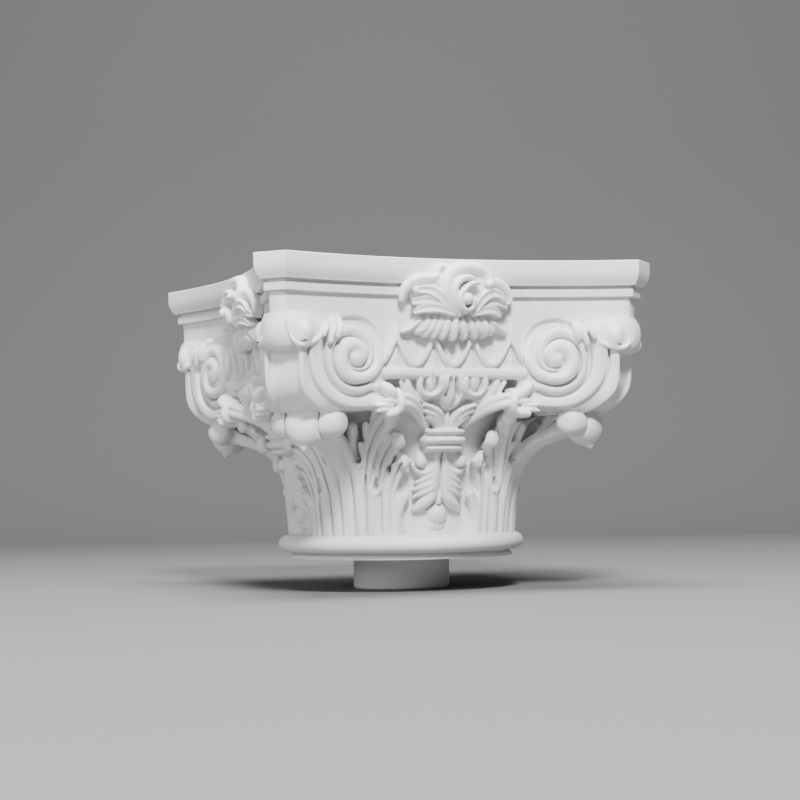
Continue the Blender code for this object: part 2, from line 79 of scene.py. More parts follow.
class CapitalSizes(bpy.types.PropertyGroup):
    """Driving sizes of the capital"""
    spigot_radius: metres("Spigot radius", "Radius of the round spigot below", 0.045)
    spigot_length: metres("Spigot length", "How far the spigot reaches down", 0.030)
    seat_radius: metres("Seat radius", "Radius of the flat seat that meets the shaft", 0.104)
    seat_height: metres("Seat height", "Height of the seat's edge", 0.0025)
    neck_radius: metres("Neck radius", "Radius of the neck under the torus", 0.101)
    neck_height: metres("Neck height", "Height of the neck under the torus", 0.0025)
    torus_radius: metres("Torus radius", "Radius of the torus", 0.115)
    torus_height: metres("Torus height", "Height of the torus", 0.017)
    carved_height: metres("Carved height", "Height from the torus to the abacus", 0.208)
    band_height: metres("Band height", "Height of the lower band of the abacus", 0.007)
    groove_height: metres("Groove height", "Height of the groove over the band", 0.003)
    fascia_height: metres("Fascia height", "Height of the fascia of the abacus", 0.0217)
    abacus_reach: metres("Abacus reach", "Distance from the axis to a cut corner", 0.2446)
    abacus_corner: metres("Abacus corner", "Width of a cut corner", 0.0312)
    abacus_sag: metres("Abacus sag", "Depth of the hollow side", 0.0309)
    cyma_depth: metres("Cyma depth", "How far the fascia curves in at its foot", 0.0043)
    band_inset: metres("Band inset", "How far the band stands back", 0.0077)
    groove_inset: metres("Groove inset", "How far the groove stands back", 0.0102)
    wall_inset: metres("Wall inset", "How far the hollow wall stands back", 0.0118)
    flow: metres("Flow", "Grain at which the carving melts together", 0.00085)
    carved_facets: IntProperty(name="Carved facets", description="Triangles in one eighth of the carving",
        default=17000)
    flower_facets: IntProperty(name="Flower facets", description="Triangles in one flower", default=12000)


def hex_linear(text):
    """An sRGB hex value as linear red, green and blue."""
    channels = [int(text[i:i + 2], 16) / 255 for i in (0, 2, 4)]
    return tuple(c / 12.92 if c <= 0.04045 else ((c + 0.055) / 1.055) ** 2.4 for c in channels) + (1.0,)


def colour(name, description, default):
    return FloatVectorProperty(name=name, description=description, default=hex_linear(default), size=4,
        min=0.0, max=1.0, subtype="COLOR")


class CapitalColours(bpy.types.PropertyGroup):
    """Colours of the finish"""
    primer: colour("Primer", "White primer", "E2E2E0")
    hollow: colour("Hollows", "Primer where it lies thicker and dries duller", "D4D4D2")
    floor: colour("Floor", "Studio floor and backdrop", "707070")


# Building blocks

UP = Vector((0, 0, 1))
eighth, flower, crisp, cuts = [], [], [], []


def sizes():
    return bpy.context.scene.capital_sizes


def straight(knots, t):
    """Value at t on straight lines through (t, value) knots."""
    if t <= knots[0][0]:
        return knots[0][1]
    for (t0, v0), (t1, v1) in zip(knots, knots[1:]):
        if t <= t1:
            return v0 + (v1 - v0) * (t - t0) / (t1 - t0)
    return knots[-1][1]


def flowing(stations, steps=5):
    """Stations of numbers run through by a smooth curve, with this many steps between two of them."""
    count = len(stations)
    path = []
    for i in range(count - 1):
        p0, p1 = stations[max(i - 1, 0)], stations[i]
        p2, p3 = stations[i + 1], stations[min(i + 2, count - 1)]
        for step in range(steps):
            t = step / steps
            path.append(tuple(0.5 * (2 * b + (c - a) * t + (2 * a - 5 * b + 4 * c - d) * t * t +
                                     (3 * b - a - 3 * c + d) * t ** 3)
                              for a, b, c, d in zip(p0, p1, p2, p3)))
    path.append(tuple(stations[-1]))
    return path


BELL_CURVE = flowing(BELL, 4)


def foot_level():
    s = sizes()
    return s.spigot_length + s.seat_height + s.neck_height + s.torus_height


def capital_top():
    s = sizes()
    return foot_level() + s.carved_height + s.band_height + s.groove_height + s.fascia_height


def unit():
    return sizes().abacus_reach / PARTS_REACH


def height(z):
    """Height in metres of a level in parts, with all carving kept under the flat top."""
    return min(foot_level() + z * sizes().carved_height / PARTS_HIGH, capital_top() - TOP_CLEARANCE)


def spread(z):
    """Metres to one part going out, at a level in parts."""
    foot = sizes().torus_radius / PARTS_TORUS
    return foot + (unit() - foot) * min(max(z / 110.0, 0.0), 1.0)


def front(x, w, z):
    """Point at x to the right, w out of the front face and a level z, in parts."""
    k = spread(z)
    return Vector((x * k, -w * k, height(z)))


def diagonal(reach, q, z):
    """Point on the front right corner: reach along the diagonal, q across it, towards the front face."""
    return front((reach - q) / sqrt(2), (reach + q) / sqrt(2), z)


def on_bell(angle, z, rise):
    """Point and normal at an angle from the middle of the front face, a rise above the bell."""
    a = radians(angle)
    radius = straight(BELL_CURVE, z) + rise
    return front(radius * sin(a), radius * cos(a), z), Vector((sin(a), -cos(a), 0))


def beside(delta, z, radius):
    """Point at delta degrees from the diagonal towards the front face, and a radius in parts."""
    a = radians(45 - delta)
    return front(radius * sin(a), radius * cos(a), z), Vector((sin(a), -cos(a), 0))


def side_arc():
    """Radius and centre of the hollow side of the abacus."""
    s = sizes()
    half = (s.abacus_reach - s.abacus_corner / 2) / sqrt(2)
    radius = (half ** 2 + s.abacus_sag ** 2) / (2 * s.abacus_sag)
    return radius, (s.abacus_reach + s.abacus_corner / 2) / sqrt(2) - s.abacus_sag + radius


def on_wall(x, z, rise):
    """Point and normal at x to the right, a rise above the hollow wall of the abacus."""
    radius, centre = side_arc()
    k = spread(z)
    depth = centre - sqrt((radius + sizes().wall_inset) ** 2 - (x * k) ** 2)
    normal = Vector((-x * k, -(centre - depth), 0)).normalized()
    return Vector((x * k, -depth, height(z))) + normal * rise * k, normal


def plan(inset, steps=40):
    """Outline of the abacus moved in by inset, as (x, y), anticlockwise from the front face's left end."""
    arc, centre = side_arc()
    radius = arc + inset
    reach = sizes().abacus_reach - inset
    half = pi / 4 + asin((sqrt(2) * reach - centre) / (sqrt(2) * radius))
    points = []
    for quarter in range(4):
        turn = Matrix.Rotation(quarter * pi / 2, 2)
        for step in range(steps + 1):
            a = half * (2 * step / steps - 1)
            points.append(turn @ Vector((radius * sin(a), radius * cos(a) - centre)))
    return points


def loft(rings, kept):
    """Keep one closed body through rings of equally many points."""
    bm = bmesh.new()
    rows = [[bm.verts.new(point) for point in ring] for ring in rings]
    count = len(rings[0])
    for low, high in zip(rows, rows[1:]):
        for i in range(count):
            j = (i + 1) % count
            bm.faces.new((low[i], low[j], high[j], high[i]))
    bm.faces.new(list(reversed(rows[0])))
    bm.faces.new(rows[-1])
    bmesh.ops.recalc_face_normals(bm, faces=bm.faces)
    mesh = bpy.data.meshes.new("carving")
    bm.to_mesh(mesh)
    bm.free()
    kept.append(mesh)


def section(power, count=7, dip=0.0):
    """Cross-section of a moulding: a crown, squarer with a higher power, dipped along its middle."""
    points = [(-1.0, -1.0)]
    for i in range(count):
        a = -1 + 2 * i / (count - 1)
        a = 0.98 * (abs(a) ** 0.8) * (1 if a > 0 else -1)
        points.append((a, (1 - abs(a) ** power) ** (1 / power) - dip * max(0.0, 1 - (a / 0.6) ** 2)))
    return points + [(1.0, -1.0)]


CROWN = section(2.0, 9)
STRAP = section(4.5, 11)
CHANNEL = section(5.0, 11, 0.42)
KEEL = [(-1, -1), (-0.97, 0.12), (-0.5, 0.55), (-0.12, 0.94), (0, 1), (0.12, 0.94), (0.5, 0.55),
    (0.97, 0.12), (1, -1)]
BOWL = [(-1.2, 1), (-1, 0), (-0.82, -0.6), (-0.45, -0.92), (0, -1), (0.45, -0.92), (0.82, -0.6), (1, 0),
    (1.2, 1)]


def ridge(place, stations, sink=4.0, steps=5, shape=CROWN, kept=eighth, blunt=(False, False)):
    """Run a moulding through stations of (across, up, rise, half width, height) placed on a surface.
    Its foot may come up from one depth at the start to another at the end."""
    depths = sink if isinstance(sink, tuple) else (sink, sink)
    path = flowing(stations, steps)
    last = len(path) - 1
    rows = [(place(*station[:3]), station[3], station[4], depths[0] + (depths[1] - depths[0]) * i / last)
            for i, station in enumerate(path)]
    k = unit()

    def capped(end, other):
        (point, normal), half, tall, deep = end
        away = (point - other[0][0]).normalized()
        caps = []
        for reach in (0.4, 0.7, 0.9, 0.985):
            round_off = sqrt(1 - reach ** 2)
            caps.append(((point + away * half * reach * k, normal), half * round_off,
                tall * (0.3 + 0.7 * round_off), deep * (0.6 + 0.4 * round_off)))
        return caps

    if blunt[0]:
        rows = list(reversed(capped(rows[0], rows[1]))) + rows
    if blunt[1]:
        rows = rows + capped(rows[-1], rows[-2])
    rings = []
    for i, ((point, normal), half, tall, deep) in enumerate(rows):
        along = rows[min(i + 1, len(rows) - 1)][0][0] - rows[max(i - 1, 0)][0][0]
        side = along.cross(normal).normalized()
        half = max(half, 0.05)
        rings.append([point + side * a * half * k + normal * (b * (tall if b > 0 else deep)) * k
            for a, b in shape])
    loft(rings, kept)


def blade(place, stations, sink=4.0, steps=5, shape=CROWN, kept=eighth):
    """A ridge with a rounded tip."""
    ridge(place, stations, sink, steps, shape, kept, (False, True))


def pebble(spot, radii, kept=eighth, sides=14):
    """Keep an egg shape at a point with its normal. Its radii are across, upwards and along the normal."""
    k = unit()
    centre, normal = spot
    side = UP.cross(normal).normalized()
    rings = []
    for i in range(1, 9):
        a = pi * i / 9
        points = []
        for j in range(sides):
            t = 2 * pi * j / sides
            wide, deep = side * cos(t) * sin(a) * radii[0], normal * sin(t) * sin(a) * radii[2]
            points.append(centre + (wide + deep - UP * cos(a) * radii[1]) * k)
        rings.append(points)
    loft(rings, kept)


def ring_of(radius, z, sides):
    return [Vector((radius * cos(2 * pi * i / sides), radius * sin(2 * pi * i / sides), z))
        for i in range(sides)]


def wedge(outline, z):
    """Outline from just past the middle of the front face to just past the diagonal, closed at the axis."""
    def bearing(p):
        return -degrees(Vector((0, -1)).angle_signed(Vector((p[0], p[1])), 0))

    kept = sorted((p for p in outline if -10 < bearing(p) < 55), key=bearing)
    return [Vector((-0.01, 0.01, z))] + [Vector((p[0], p[1], z)) for p in kept]


def furrow(place, stations, steps=4):
    """Cut a groove along stations of (across, up, rise, half width, depth)."""
    k = unit()
    rows = [(place(*station[:3]), station[3], station[4]) for station in flowing(stations, steps)]
    rings = []
    for i, ((point, normal), half, depth) in enumerate(rows):
        along = rows[min(i + 1, len(rows) - 1)][0][0] - rows[max(i - 1, 0)][0][0]
        side = along.cross(normal).normalized()
        half, depth = max(half, 0.15), max(depth, 0.1)
        rings.append([point + side * a * half * k + normal * (b * (4 if b > 0 else depth)) * k
            for a, b in BOWL])
    loft(rings, cuts)


def held_back(outline, limit):
    """Outline whose corners reach no further than a limit along the diagonals."""
    points = []
    for p in outline:
        over = max(0.0, (abs(p[0]) + abs(p[1])) / sqrt(2) - limit) / sqrt(2)
        points.append((p[0] - over * (1 if p[0] > 0 else -1), p[1] - over * (1 if p[1] > 0 else -1)))
    return points


def acanthus(spine, lobes, sink):
    """A leaf on a spine of (delta, height, radius, half width, thickness).
    Its lobes are (share of the spine, side, angle off the spine, length, half width, lift of the tip)."""
    blade(beside, spine, (sink, 4), shape=CHANNEL)
    path = flowing(spine, 8)

    for share, side, angle, length, half, lift in lobes:
        i = min(int(share * (len(path) - 1)), len(path) - 2)
        (d0, z0, r0), (d1, z1) = path[i][:3], path[i + 1][:2]
        degree = r0 * pi / 180
        course = atan2((d1 - d0) * degree, z1 - z0)
        stations = []
        for s, wide, up in ((0.1, 0.5, 0.0), (0.55, 1.0, 0.55), (0.94, 0.84, 1.15)):
            a = course + side * radians(angle) * (1 - 0.3 * s)
            stations.append((d0 + length * s * sin(a) / degree, z0 + length * s * cos(a), r0 + lift * up,
                half * wide, 3 + up))
        blade(beside, stations, (sink, 2), 4)
    middle = [(d, z, r + tall * 0.8, 1.2, 4) for d, z, r, half, tall in spine[:-1]]
    middle[0] = (*middle[0][:3], 0.5, 1)
    furrow(beside, middle + [(*path[-4][:2], path[-4][2] + 3.4, 0.6, 1.6)])
    d, z, r, half, tall = spine[-1]
    pebble(beside(d + 0.3, z - 0.6, r + 1), (half * 0.98, half * 1.3, half * 0.9))


def brought_forward(x, z, rise):
    """Point in front of the bell that comes forward to the face of the volutes as it goes out."""
    share = min(max((x - 14) / 36, 0.0), 1.0)
    share = share * share * (3 - 2 * share)
    radius = straight(BELL_CURVE, z)
    bell = sqrt(max(radius ** 2 - x ** 2, 0))
    wall = -on_wall(x, z, 1)[0].y / spread(z)
    normal = Vector((sin(radians(16)) * (1 - share) * min(x / 14, 1), -1, 0)).normalized()
    return front(x, bell + (wall - bell) * share, z) + normal * rise * spread(z), normal


# Turned foot, bell and abacus

def carve_foot():
    """Spigot, seat, neck and torus, turned about the axis."""
    s = sizes()
    seat_top = s.spigot_length + s.seat_height
    neck_top = seat_top + s.neck_height
    half = s.torus_height / 2
    bulge = s.torus_radius - s.neck_radius
    profile = [(s.spigot_radius - SPIGOT_CHAMFER, 0), (s.spigot_radius - 0.0008, 0.0009),
        (s.spigot_radius, SPIGOT_CHAMFER), (s.spigot_radius, s.spigot_length),
        (s.seat_radius, s.spigot_length), (s.seat_radius, seat_top), (s.neck_radius, neck_top)]
    for degree in range(-60, 91, 15):
        a = radians(degree)
        profile.append((s.torus_radius - bulge * (1 - cos(a)) * 0.8, neck_top + half * (1 + sin(a))))
    loft([ring_of(radius, z, 128) for radius, z in profile], crisp)


def carve_bell():
    """Bell, as a wedge of the eighth."""
    rings = []
    for z, radius in BELL_CURVE:
        outline = [(radius * spread(z) * sin(radians(a)), -radius * spread(z) * cos(radians(a)))
            for a in range(-9, 55)]
        rings.append(wedge(outline, height(z)))
    loft(rings, eighth)


def carve_abacus():
    """Hollow walls in the eighth, then band, groove and fascia run round the whole abacus."""
    s = sizes()
    underside = foot_level() + s.carved_height
    band_top = underside + s.band_height
    groove_top = band_top + s.groove_height
    wall = ((height(136), 0.0005, 206), (height(150), 0.001, 206), (height(172), WALL_COVE, 206),
                (height(186), 0.0007, 260), (underside + s.band_height / 2, 0, 260))
    loft([wedge(held_back(plan(s.wall_inset + cove), limit * unit()), z) for z, cove, limit in wall],
        eighth)
    levels = [(underside, s.band_inset + 0.0004), (underside + 0.0004, s.band_inset),
        (band_top - 0.0004, s.band_inset), (band_top, s.band_inset + 0.0004), (band_top, s.groove_inset),
        (groove_top, s.groove_inset), (groove_top, s.cyma_depth)]
    for share, depth in ((0.05, 0.9), (0.12, 0.68), (0.2, 0.46), (0.3, 0.26), (0.4, 0.12), (0.52, 0.03),
            (0.66, 0.0)):
        levels.append((groove_top + s.fascia_height * share, s.cyma_depth * depth))
    levels += [(capital_top() - 0.0006, 0), (capital_top(), 0.0006)]
    loft([[Vector((p.x, p.y, z)) for p in plan(inset)] for z, inset in levels], crisp)


# Volutes

# Rim of the hollow bolster at the corner, in parts: height with reach, and height with distance across
RIM = [(104.5, 188), (106, 194), (108, 200), (110.5, 205), (113, 209), (116, 213.5), (121, 219),
    (126, 222.4), (133, 224.6), (145, 225.4), (155, 225.4)]
RIM_ACROSS = [(104.5, 26), (110, 24), (116, 21.8), (125, 19.8)]


def carve_scroll_body():
    """The scroll of the corner: a volute's edge on each face and a hollow bolster between raised rims."""
    rings = []
    for z in (104.8, 106.3, 108, 109.8, 111.3, 113, 115.5, 119, 123.5, 129, 135.5, 143, 152, 165, 172, 178,
            184, 190):
        drop = min(max((EYE_Z - z) / VOLUTE_HIGH, 0.0), 0.9995)
        edge = EYE_X + VOLUTE_WIDE * sqrt(1 - drop ** 2)
        rim = straight(RIM, z)
        stand = straight([(170, 1), (186, 0)], z)
        low = max(0.0, 109.8 - z)

        def face(x, rise):
            return on_wall(x, z, rise * stand - 1.5 * (1 - stand))[0]

        outer = on_wall(max(edge, EYE_X + 1), z, 4.5)[0]
        across = (-outer.y - outer.x) / sqrt(2) / spread(z)
        if low:
            across = straight(RIM_ACROSS, z)
            half = [diagonal(140, 8, z), diagonal(150, across * 0.6, z), diagonal(158, across * 0.9, z),
                diagonal(164, across, z), diagonal(170, across + 1, z), diagonal(177, across + 1, z),
                diagonal(184 - low, across, z)]
        else:
            half = [diagonal(110, 10, z), on_wall(EYE_X - 32, z, -4)[0], face(EYE_X - 26, 0.2),
                face(EYE_X - 8, 1.6), face(EYE_X + 1, 1.8), face(max(edge - 2, EYE_X + 1), 2.4),
                face(max(edge, EYE_X + 1), 3)]
        across = min(across, straight(RIM_ACROSS, z))
        for share, depth in ((0.97, 4.2), (0.94, 1.8), (0.88, 0.2), (0.8, 0.0), (0.755, 0.6), (0.735, 3.0),
                (0.69, 4.3), (0.5, 4.9), (0.25, 5.2)):
            half.append(diagonal(rim - depth, share * across, z))
        mirrored = [Vector((-p.y, -p.x, p.z)) for p in reversed(half)]
        rings.append(half + [diagonal(rim - 5.3, 0, z)] + mirrored)
    loft(rings, eighth)
    # crease between the volute's outer band and the rim of the bolster
    crease = spiral([(0.1, 44.6, 0.9), (0.5, 46.2, 1.3), (1, 47.4, 1.4)], [(0, 3.8)],
                    [(0.1, 1.6), (0.4, 4.4), (1, 4.8)])
    furrow(on_wall, crease + [(140.2, 160, 3.8, 1.4, 4.8), (140, 170, 3.4, 1.2, 3)], 2)


def spiral(knots, rise, tall, step=0.2):
    """Stations round the eye from knots of (quarter turns from the foot outwards, radius, half width)."""
    start, end = knots[0][0], knots[-1][0]
    count = ceil((end - start) / step)
    stations = []
    for i in range(count + 1):
        turn = start + (end - start) * i / count
        radius = straight([(t, r) for t, r, half in knots], turn)
        half = straight([(t, half) for t, r, half in knots], turn)
        a = turn * pi / 2
        x, z = EYE_X + radius * sin(a), EYE_Z - radius * cos(a)
        stations.append((x, z, straight(rise, turn), half, straight(tall, turn)))
    return stations


def carve_volutes():
    """Outer band, the band that winds in, the ring that stands proud over it, and the eye."""
    lead = [(62, 118, 1.5, 2.6, 2.4), (70, 116.4, 1.5, 4.3, 3.4), (80, 115.6, 1.5, 4.8, 3.8)]
    outer = [(0, 37.8, 4.6), (0.5, 39.4, 5.4), (0.8, 39.8, 6.5), (1, 39.9, 7.0)]
    tail = [(132.9, 160, 1.5, 7, 4.6), (132.6, 170, 1.5, 7, 4.6), (132, 180, 0.5, 7, 3)]
    ridge(on_wall, lead + spiral(outer, [(0, 1.5)], [(0, 4.6)]) + tail, 5, 3, shape=STRAP)
    winding = [(-0.3, 26.8, 3.4), (0, 27, 3.5), (0.5, 27.3, 3.4), (1, 26.4, 3.4), (1.36, 26.6, 3.6),
        (1.67, 26.4, 4.4), (1.88, 25.4, 5.0), (2.13, 22.2, 4.9), (2.31, 19.6, 4.2), (2.52, 17.2, 3.4),
        (2.73, 15.3, 2.9), (3, 13.5, 2.5), (3.24, 12.1, 2.1), (3.6, 10.6, 1.5), (4, 9.3, 1.0),
        (4.42, 9.3, 0.8), (4.7, 9.3, 0.4)]
    band = spiral(winding, [(0, 1.5), (2, 1.5), (3, 2.5), (4, 3)],
                  [(-0.3, 3.8), (2, 4), (3, 3.6), (4.7, 2)])
    ridge(on_wall, [(67, 130, 1, 2.2, 2), (73, 128, 1.5, 3.2, 3)] + band, 5, 2)
    coil = [(2.2, 29.5, 3.6), (2.36, 28.6, 4.6), (2.52, 26.6, 5.6), (2.73, 24.2, 5.8), (2.98, 22.3, 5.6),
        (3.24, 20.3, 5.4), (3.6, 18, 5.7), (4, 16.7, 6.1), (4.42, 17.3, 6.6), (4.7, 16.8, 6.9),
        (5.07, 15.4, 6.9), (5.36, 15.2, 7.2), (5.66, 13.6, 7.4), (6, 10.8, 7.2), (6.54, 6.8, 6.2),
        (7.2, 3.2, 4.0)]
    ridge(on_wall, spiral(coil, [(2.2, -2), (3, 0.8), (3.6, 2.4)],
                          [(2.2, 1), (2.8, 3.4), (3.2, 5.4), (4, 6.8), (5, 7), (7, 6.8)]), 5, 2)
    pebble(on_wall(EYE_X + 0.2, EYE_Z + 0.3, 4.5), (7.6, 7.8, 5.6))
    # grooves between the bands
    groove = spiral([(-0.34, 31.8, 1.7), (-0.2, 31.9, 2.0), (0.5, 32.4, 2.0), (1, 31.4, 2.1)], [(0, 5)],
                    [(-0.34, 6), (-0.15, 8)])
    furrow(on_wall, groove + [(124, 160, 5, 2.1, 8), (123, 168, 4.6, 1.8, 7), (121.6, 176, 3, 1.2, 3)], 2)
    grooves = [([(2.8, 29.9, 0.5), (3.15, 26.9, 0.9), (3.3, 25.4, 1.1), (3.5, 24.2, 1.1), (3.75, 23.2, 1.2),
        (4, 23.2, 1.3), (4.24, 23.7, 1.3), (4.66, 24.2, 1.3), (5.07, 22.9, 1.2), (5.36, 22.8, 1.2),
        (5.66, 21.5, 1.2), (6, 18.2, 1), (6.23, 15.6, 0.9), (6.54, 13.2, 0.5)],
        [(2.8, 1), (3.2, 4), (6.5, 5)], [(2.8, 0.3), (3.3, 4.4), (4, 6), (5.6, 5.4), (6.2, 4),
        (6.54, 0.6)]), ([(2.3, 23.6, 0.5), (2.52, 20.8, 0.7), (2.73, 18.5, 0.9), (2.98, 16.8, 0.9),
        (3.24, 14.9, 0.9), (3.6, 12.2, 0.8), (4, 10.7, 0.7), (4.42, 10.7, 0.6)], [(2.3, 4), (3, 5), (4, 6)],
        [(2.3, 0.6), (2.7, 3), (3.2, 3.6), (4, 3.4), (4.42, 1)]),
        ([(3.5, 7.2, 0.5), (3.98, 7.3, 0.9), (4.31, 7.8, 1.0), (4.65, 8.6, 1.0), (4.93, 8.4, 0.9),
        (5.3, 7.6, 0.4)], [(3.5, 7.4)], [(3.5, 1), (4, 4.6), (4.8, 5), (5.3, 1)])]
    for knots, rise, deep in grooves:
        furrow(on_wall, spiral(knots, rise, deep), 2)
    # hollow above the volute
    knots = [(1.66, 33, 1.6), (1.8, 34, 3.6), (2, 33.4, 4.8), (2.15, 32.6, 5.2), (2.35, 31, 5),
        (2.6, 29.2, 3.8), (2.8, 29, 2)]
    depth = [(1.66, 3), (1.85, 6.6), (2.1, 7.4), (2.35, 5.4), (2.6, 2.6), (2.8, 0.6)]
    furrow(on_wall, spiral(knots, [(1.6, 1.6)], depth, 0.1), 2)


def carve_hood():
    """Leaf hood wrapped over the corner under the abacus, and its three fingers on the volute."""
    corner = [(0, 239.2, 191.6, 158), (9, 237.2, 191, 158.4), (14, 234, 190.4, 159), (18, 230, 189.6, 160),
        (21, 224.6, 188.4, 161.6), (24, 217, 186.6, 164.4), (26.4, 210, 184, 169),
        (28.2, 203.6, 181.6, 175)]
    rings = []
    for q, reach, top, low in flowing([(-q, *rest) for q, *rest in reversed(corner[1:])] + corner, 3):
        outline = []
        for step in range(13):
            a = pi * (step / 12 - 0.5)
            outline.append((reach - 13 + 13 * abs(cos(a)) ** 0.7,
                (top + low) / 2 + (top - low) / 2 * sin(a)))
        inner = q * 0.85
        outer = [diagonal(out, q, z) for out, z in outline]
        rings.append([diagonal(reach - 30, inner, low)] + outer + [diagonal(reach - 30, inner, top + 4)])
    loft(rings, eighth)

    def flap(q, z, rise):
        reach = straight([row[:2] for row in corner], abs(q)) + rise
        return diagonal(reach, q, z), Vector((1 - q / 50, -1 - q / 50, 0)).normalized()

    pebble(flap(19.5, 172.6, -5), (7.6, 11.4, 8))
    ridge(flap, [(12.4, 172, -1.5, 1.4, 1.6), (14.6, 166, -0.4, 1.9, 2.8), (18.6, 162, -0.4, 2.2, 3.2),
        (22.6, 163, -0.4, 2.2, 3.2), (25.6, 167.4, -1, 1.9, 2.6), (27.4, 174, -2, 1.3, 1.6)], 5)
    furrow(flap, [(9.4, 188, 0, 0.7, 1.2), (9.8, 180, 0.6, 1.2, 3), (10.6, 172.4, 1, 1.5, 4.4),
        (13, 165.6, 1.2, 1.6, 4.6), (16.6, 160.6, 1, 1.4, 3.8), (20, 158, 0.4, 1, 2)])
    furrow(flap, [(15.4, 170, 2.4, 0.7, 2), (17.6, 166, 2.4, 1.0, 3), (21, 165.2, 2.4, 1.0, 3),
        (23.6, 168, 2, 0.6, 1.4)])
    fingers = ((127.7, 5.8, 185.4, 171.4, 2.6), (121.3, 7.4, 190, 165.8, 2.9),
        (113.4, 5.2, 190.6, 170.2, 2.8))
    for x, lean, top, tip, half in fingers:
        joint, knuckle = top * 0.66 + tip * 0.34, top * 0.3 + tip * 0.7
        blade(on_wall, [(x - lean, top, -1, 1.0, 1.4), (x - lean * 0.7, joint, 3.6, half * 0.85, 5),
            (x - lean * 0.28, knuckle, 6.4, half, 5.6), (x, tip, 6.4, half * 0.94, 5)], (9, 4), 4)


# Corner leaf

# Middle of the leaf, in parts: reach, height, half width and thickness
TONGUE = [(112, 34, 14, 8), (116.5, 46, 14, 9), (122, 56, 14.2, 10), (129, 65, 14.4, 11),
    (136.5, 72, 14.8, 12), (145.5, 77.3, 15.6, 12), (156, 81, 17.4, 12), (166, 84, 20, 13),
    (175, 87, 24, 16), (182, 91, 27, 16)]


def leaf_radius(delta, z):
    """Radius of the blade's ribbed front."""
    bell = straight(BELL_CURVE, z)
    side = abs(delta)
    middle = straight([(-5, 108.5), (15, 110), (30, 112), (47, 116), (58, 120), (64, 120), (70, 114),
        (76, 103)], z)
    flank = straight([(-5, 108.5), (15, 110), (30, 111.4), (47, 112.6), (58, 112), (66, 108), (74, 101)], z)
    crest = flank + (middle - flank) * min(max((10 - side) / 3, 0.0), 1.0)
    edge = straight([(-5, 26.6), (30, 25.5), (50, 22), (62, 19), (76, 15)], z)
    share = side / edge
    body = 1 - 0.2 * share ** 2 if share < 0.88 else max(0.0, 0.845 * (1 - ((share - 0.88) / 0.2) ** 2))
    belly = straight([(0, -0.4), (2.2, 0.6), (3.3, -2.2), (4.6, 1.2), (6.3, 2.2), (8.2, 1.2), (9.3, -2.4),
        (10.8, 1.2), (13, 2.2), (15.2, 1), (16.6, -2.0), (17.6, 0.8), (18.8, 1.4), (20, 0.4), (20.8, -1.4),
        (22, 0.4), (24, 0.6)], side)
    if share >= 0.95:
        belly = 0
    return bell - 2.5 + (crest - bell + 2.5) * body + belly * straight([(0, 0.8), (30, 1)], z) - 0.8


def carve_blade():
    """Ribbed blade of the corner leaf, with its grooves."""
    rings = []
    for z in [-5 + 3 * i for i in range(28)]:
        bell = straight(BELL_CURVE, z)
        ring = [beside(-31 + 0.7 * i, z, leaf_radius(-31 + 0.7 * i, z))[0] for i in range(89)]
        rings.append(ring + [beside(a, z, bell - 8)[0] for a in (31, 15, 0, -15, -31)])
    loft(rings, eighth)
    grooves = ((3.3, 1.0, 2.6, 52), (9.3, 1.1, 3.2, 50), (16.6, 0.9, 2.8, 34), (20.6, 0.8, 2.2, 30))
    for delta, half, deep, top in grooves:
        fades = ((-6, 0.9), (8, 0.95), (20, 1), (top - 8, 1), (top, 0.6), (top + 5, 0.2))
        for side in (-1, 1):
            furrow(beside, [(side * delta, z, leaf_radius(delta, z) + 0.4, half * fade, deep * fade)
                            for z, fade in fades])


def carve_tongue():
    """The middle of the leaf: it leaves the blade, reaches out and carries the rolled tip."""
    path = flowing(TONGUE, 4)
    rings = []
    for i, (reach, z, half, thick) in enumerate(path):
        before, after = path[max(i - 1, 0)], path[min(i + 1, len(path) - 1)]
        out, up = after[0] - before[0], after[1] - before[1]
        length = sqrt(out * out + up * up)
        back = Vector((-up / length, out / length))
        flare = straight([(60, 0), (80, 1)], z)
        ring = []
        for step in range(41):
            share = -1 + step / 20
            q = share * half
            groove = 4.6 * exp(-abs((abs(q) - 6.2 - 2.4 * flare) / 2.1) ** 1.5) + 1.6 * exp(-(q / 1.2) ** 2)
            fall = 3.4 * max(0.0, abs(share) - 0.8) ** 2 * 25 + 2.6 * share ** 2
            ring.append(diagonal(reach + back.x * (groove + fall), q, z + back.y * (groove + fall)))
        for share in (0.9, 0.5, 0, -0.5, -0.9):
            ring.append(diagonal(reach + back.x * thick, share * half, z + back.y * thick))
        rings.append(ring)
    loft(rings, eighth)
    for side in (-1, 1):
        pebble((diagonal(141, side * 15.4, 71), Vector((1, -1, -0.6)).normalized()), (2.2, 4.6, 5), cuts)


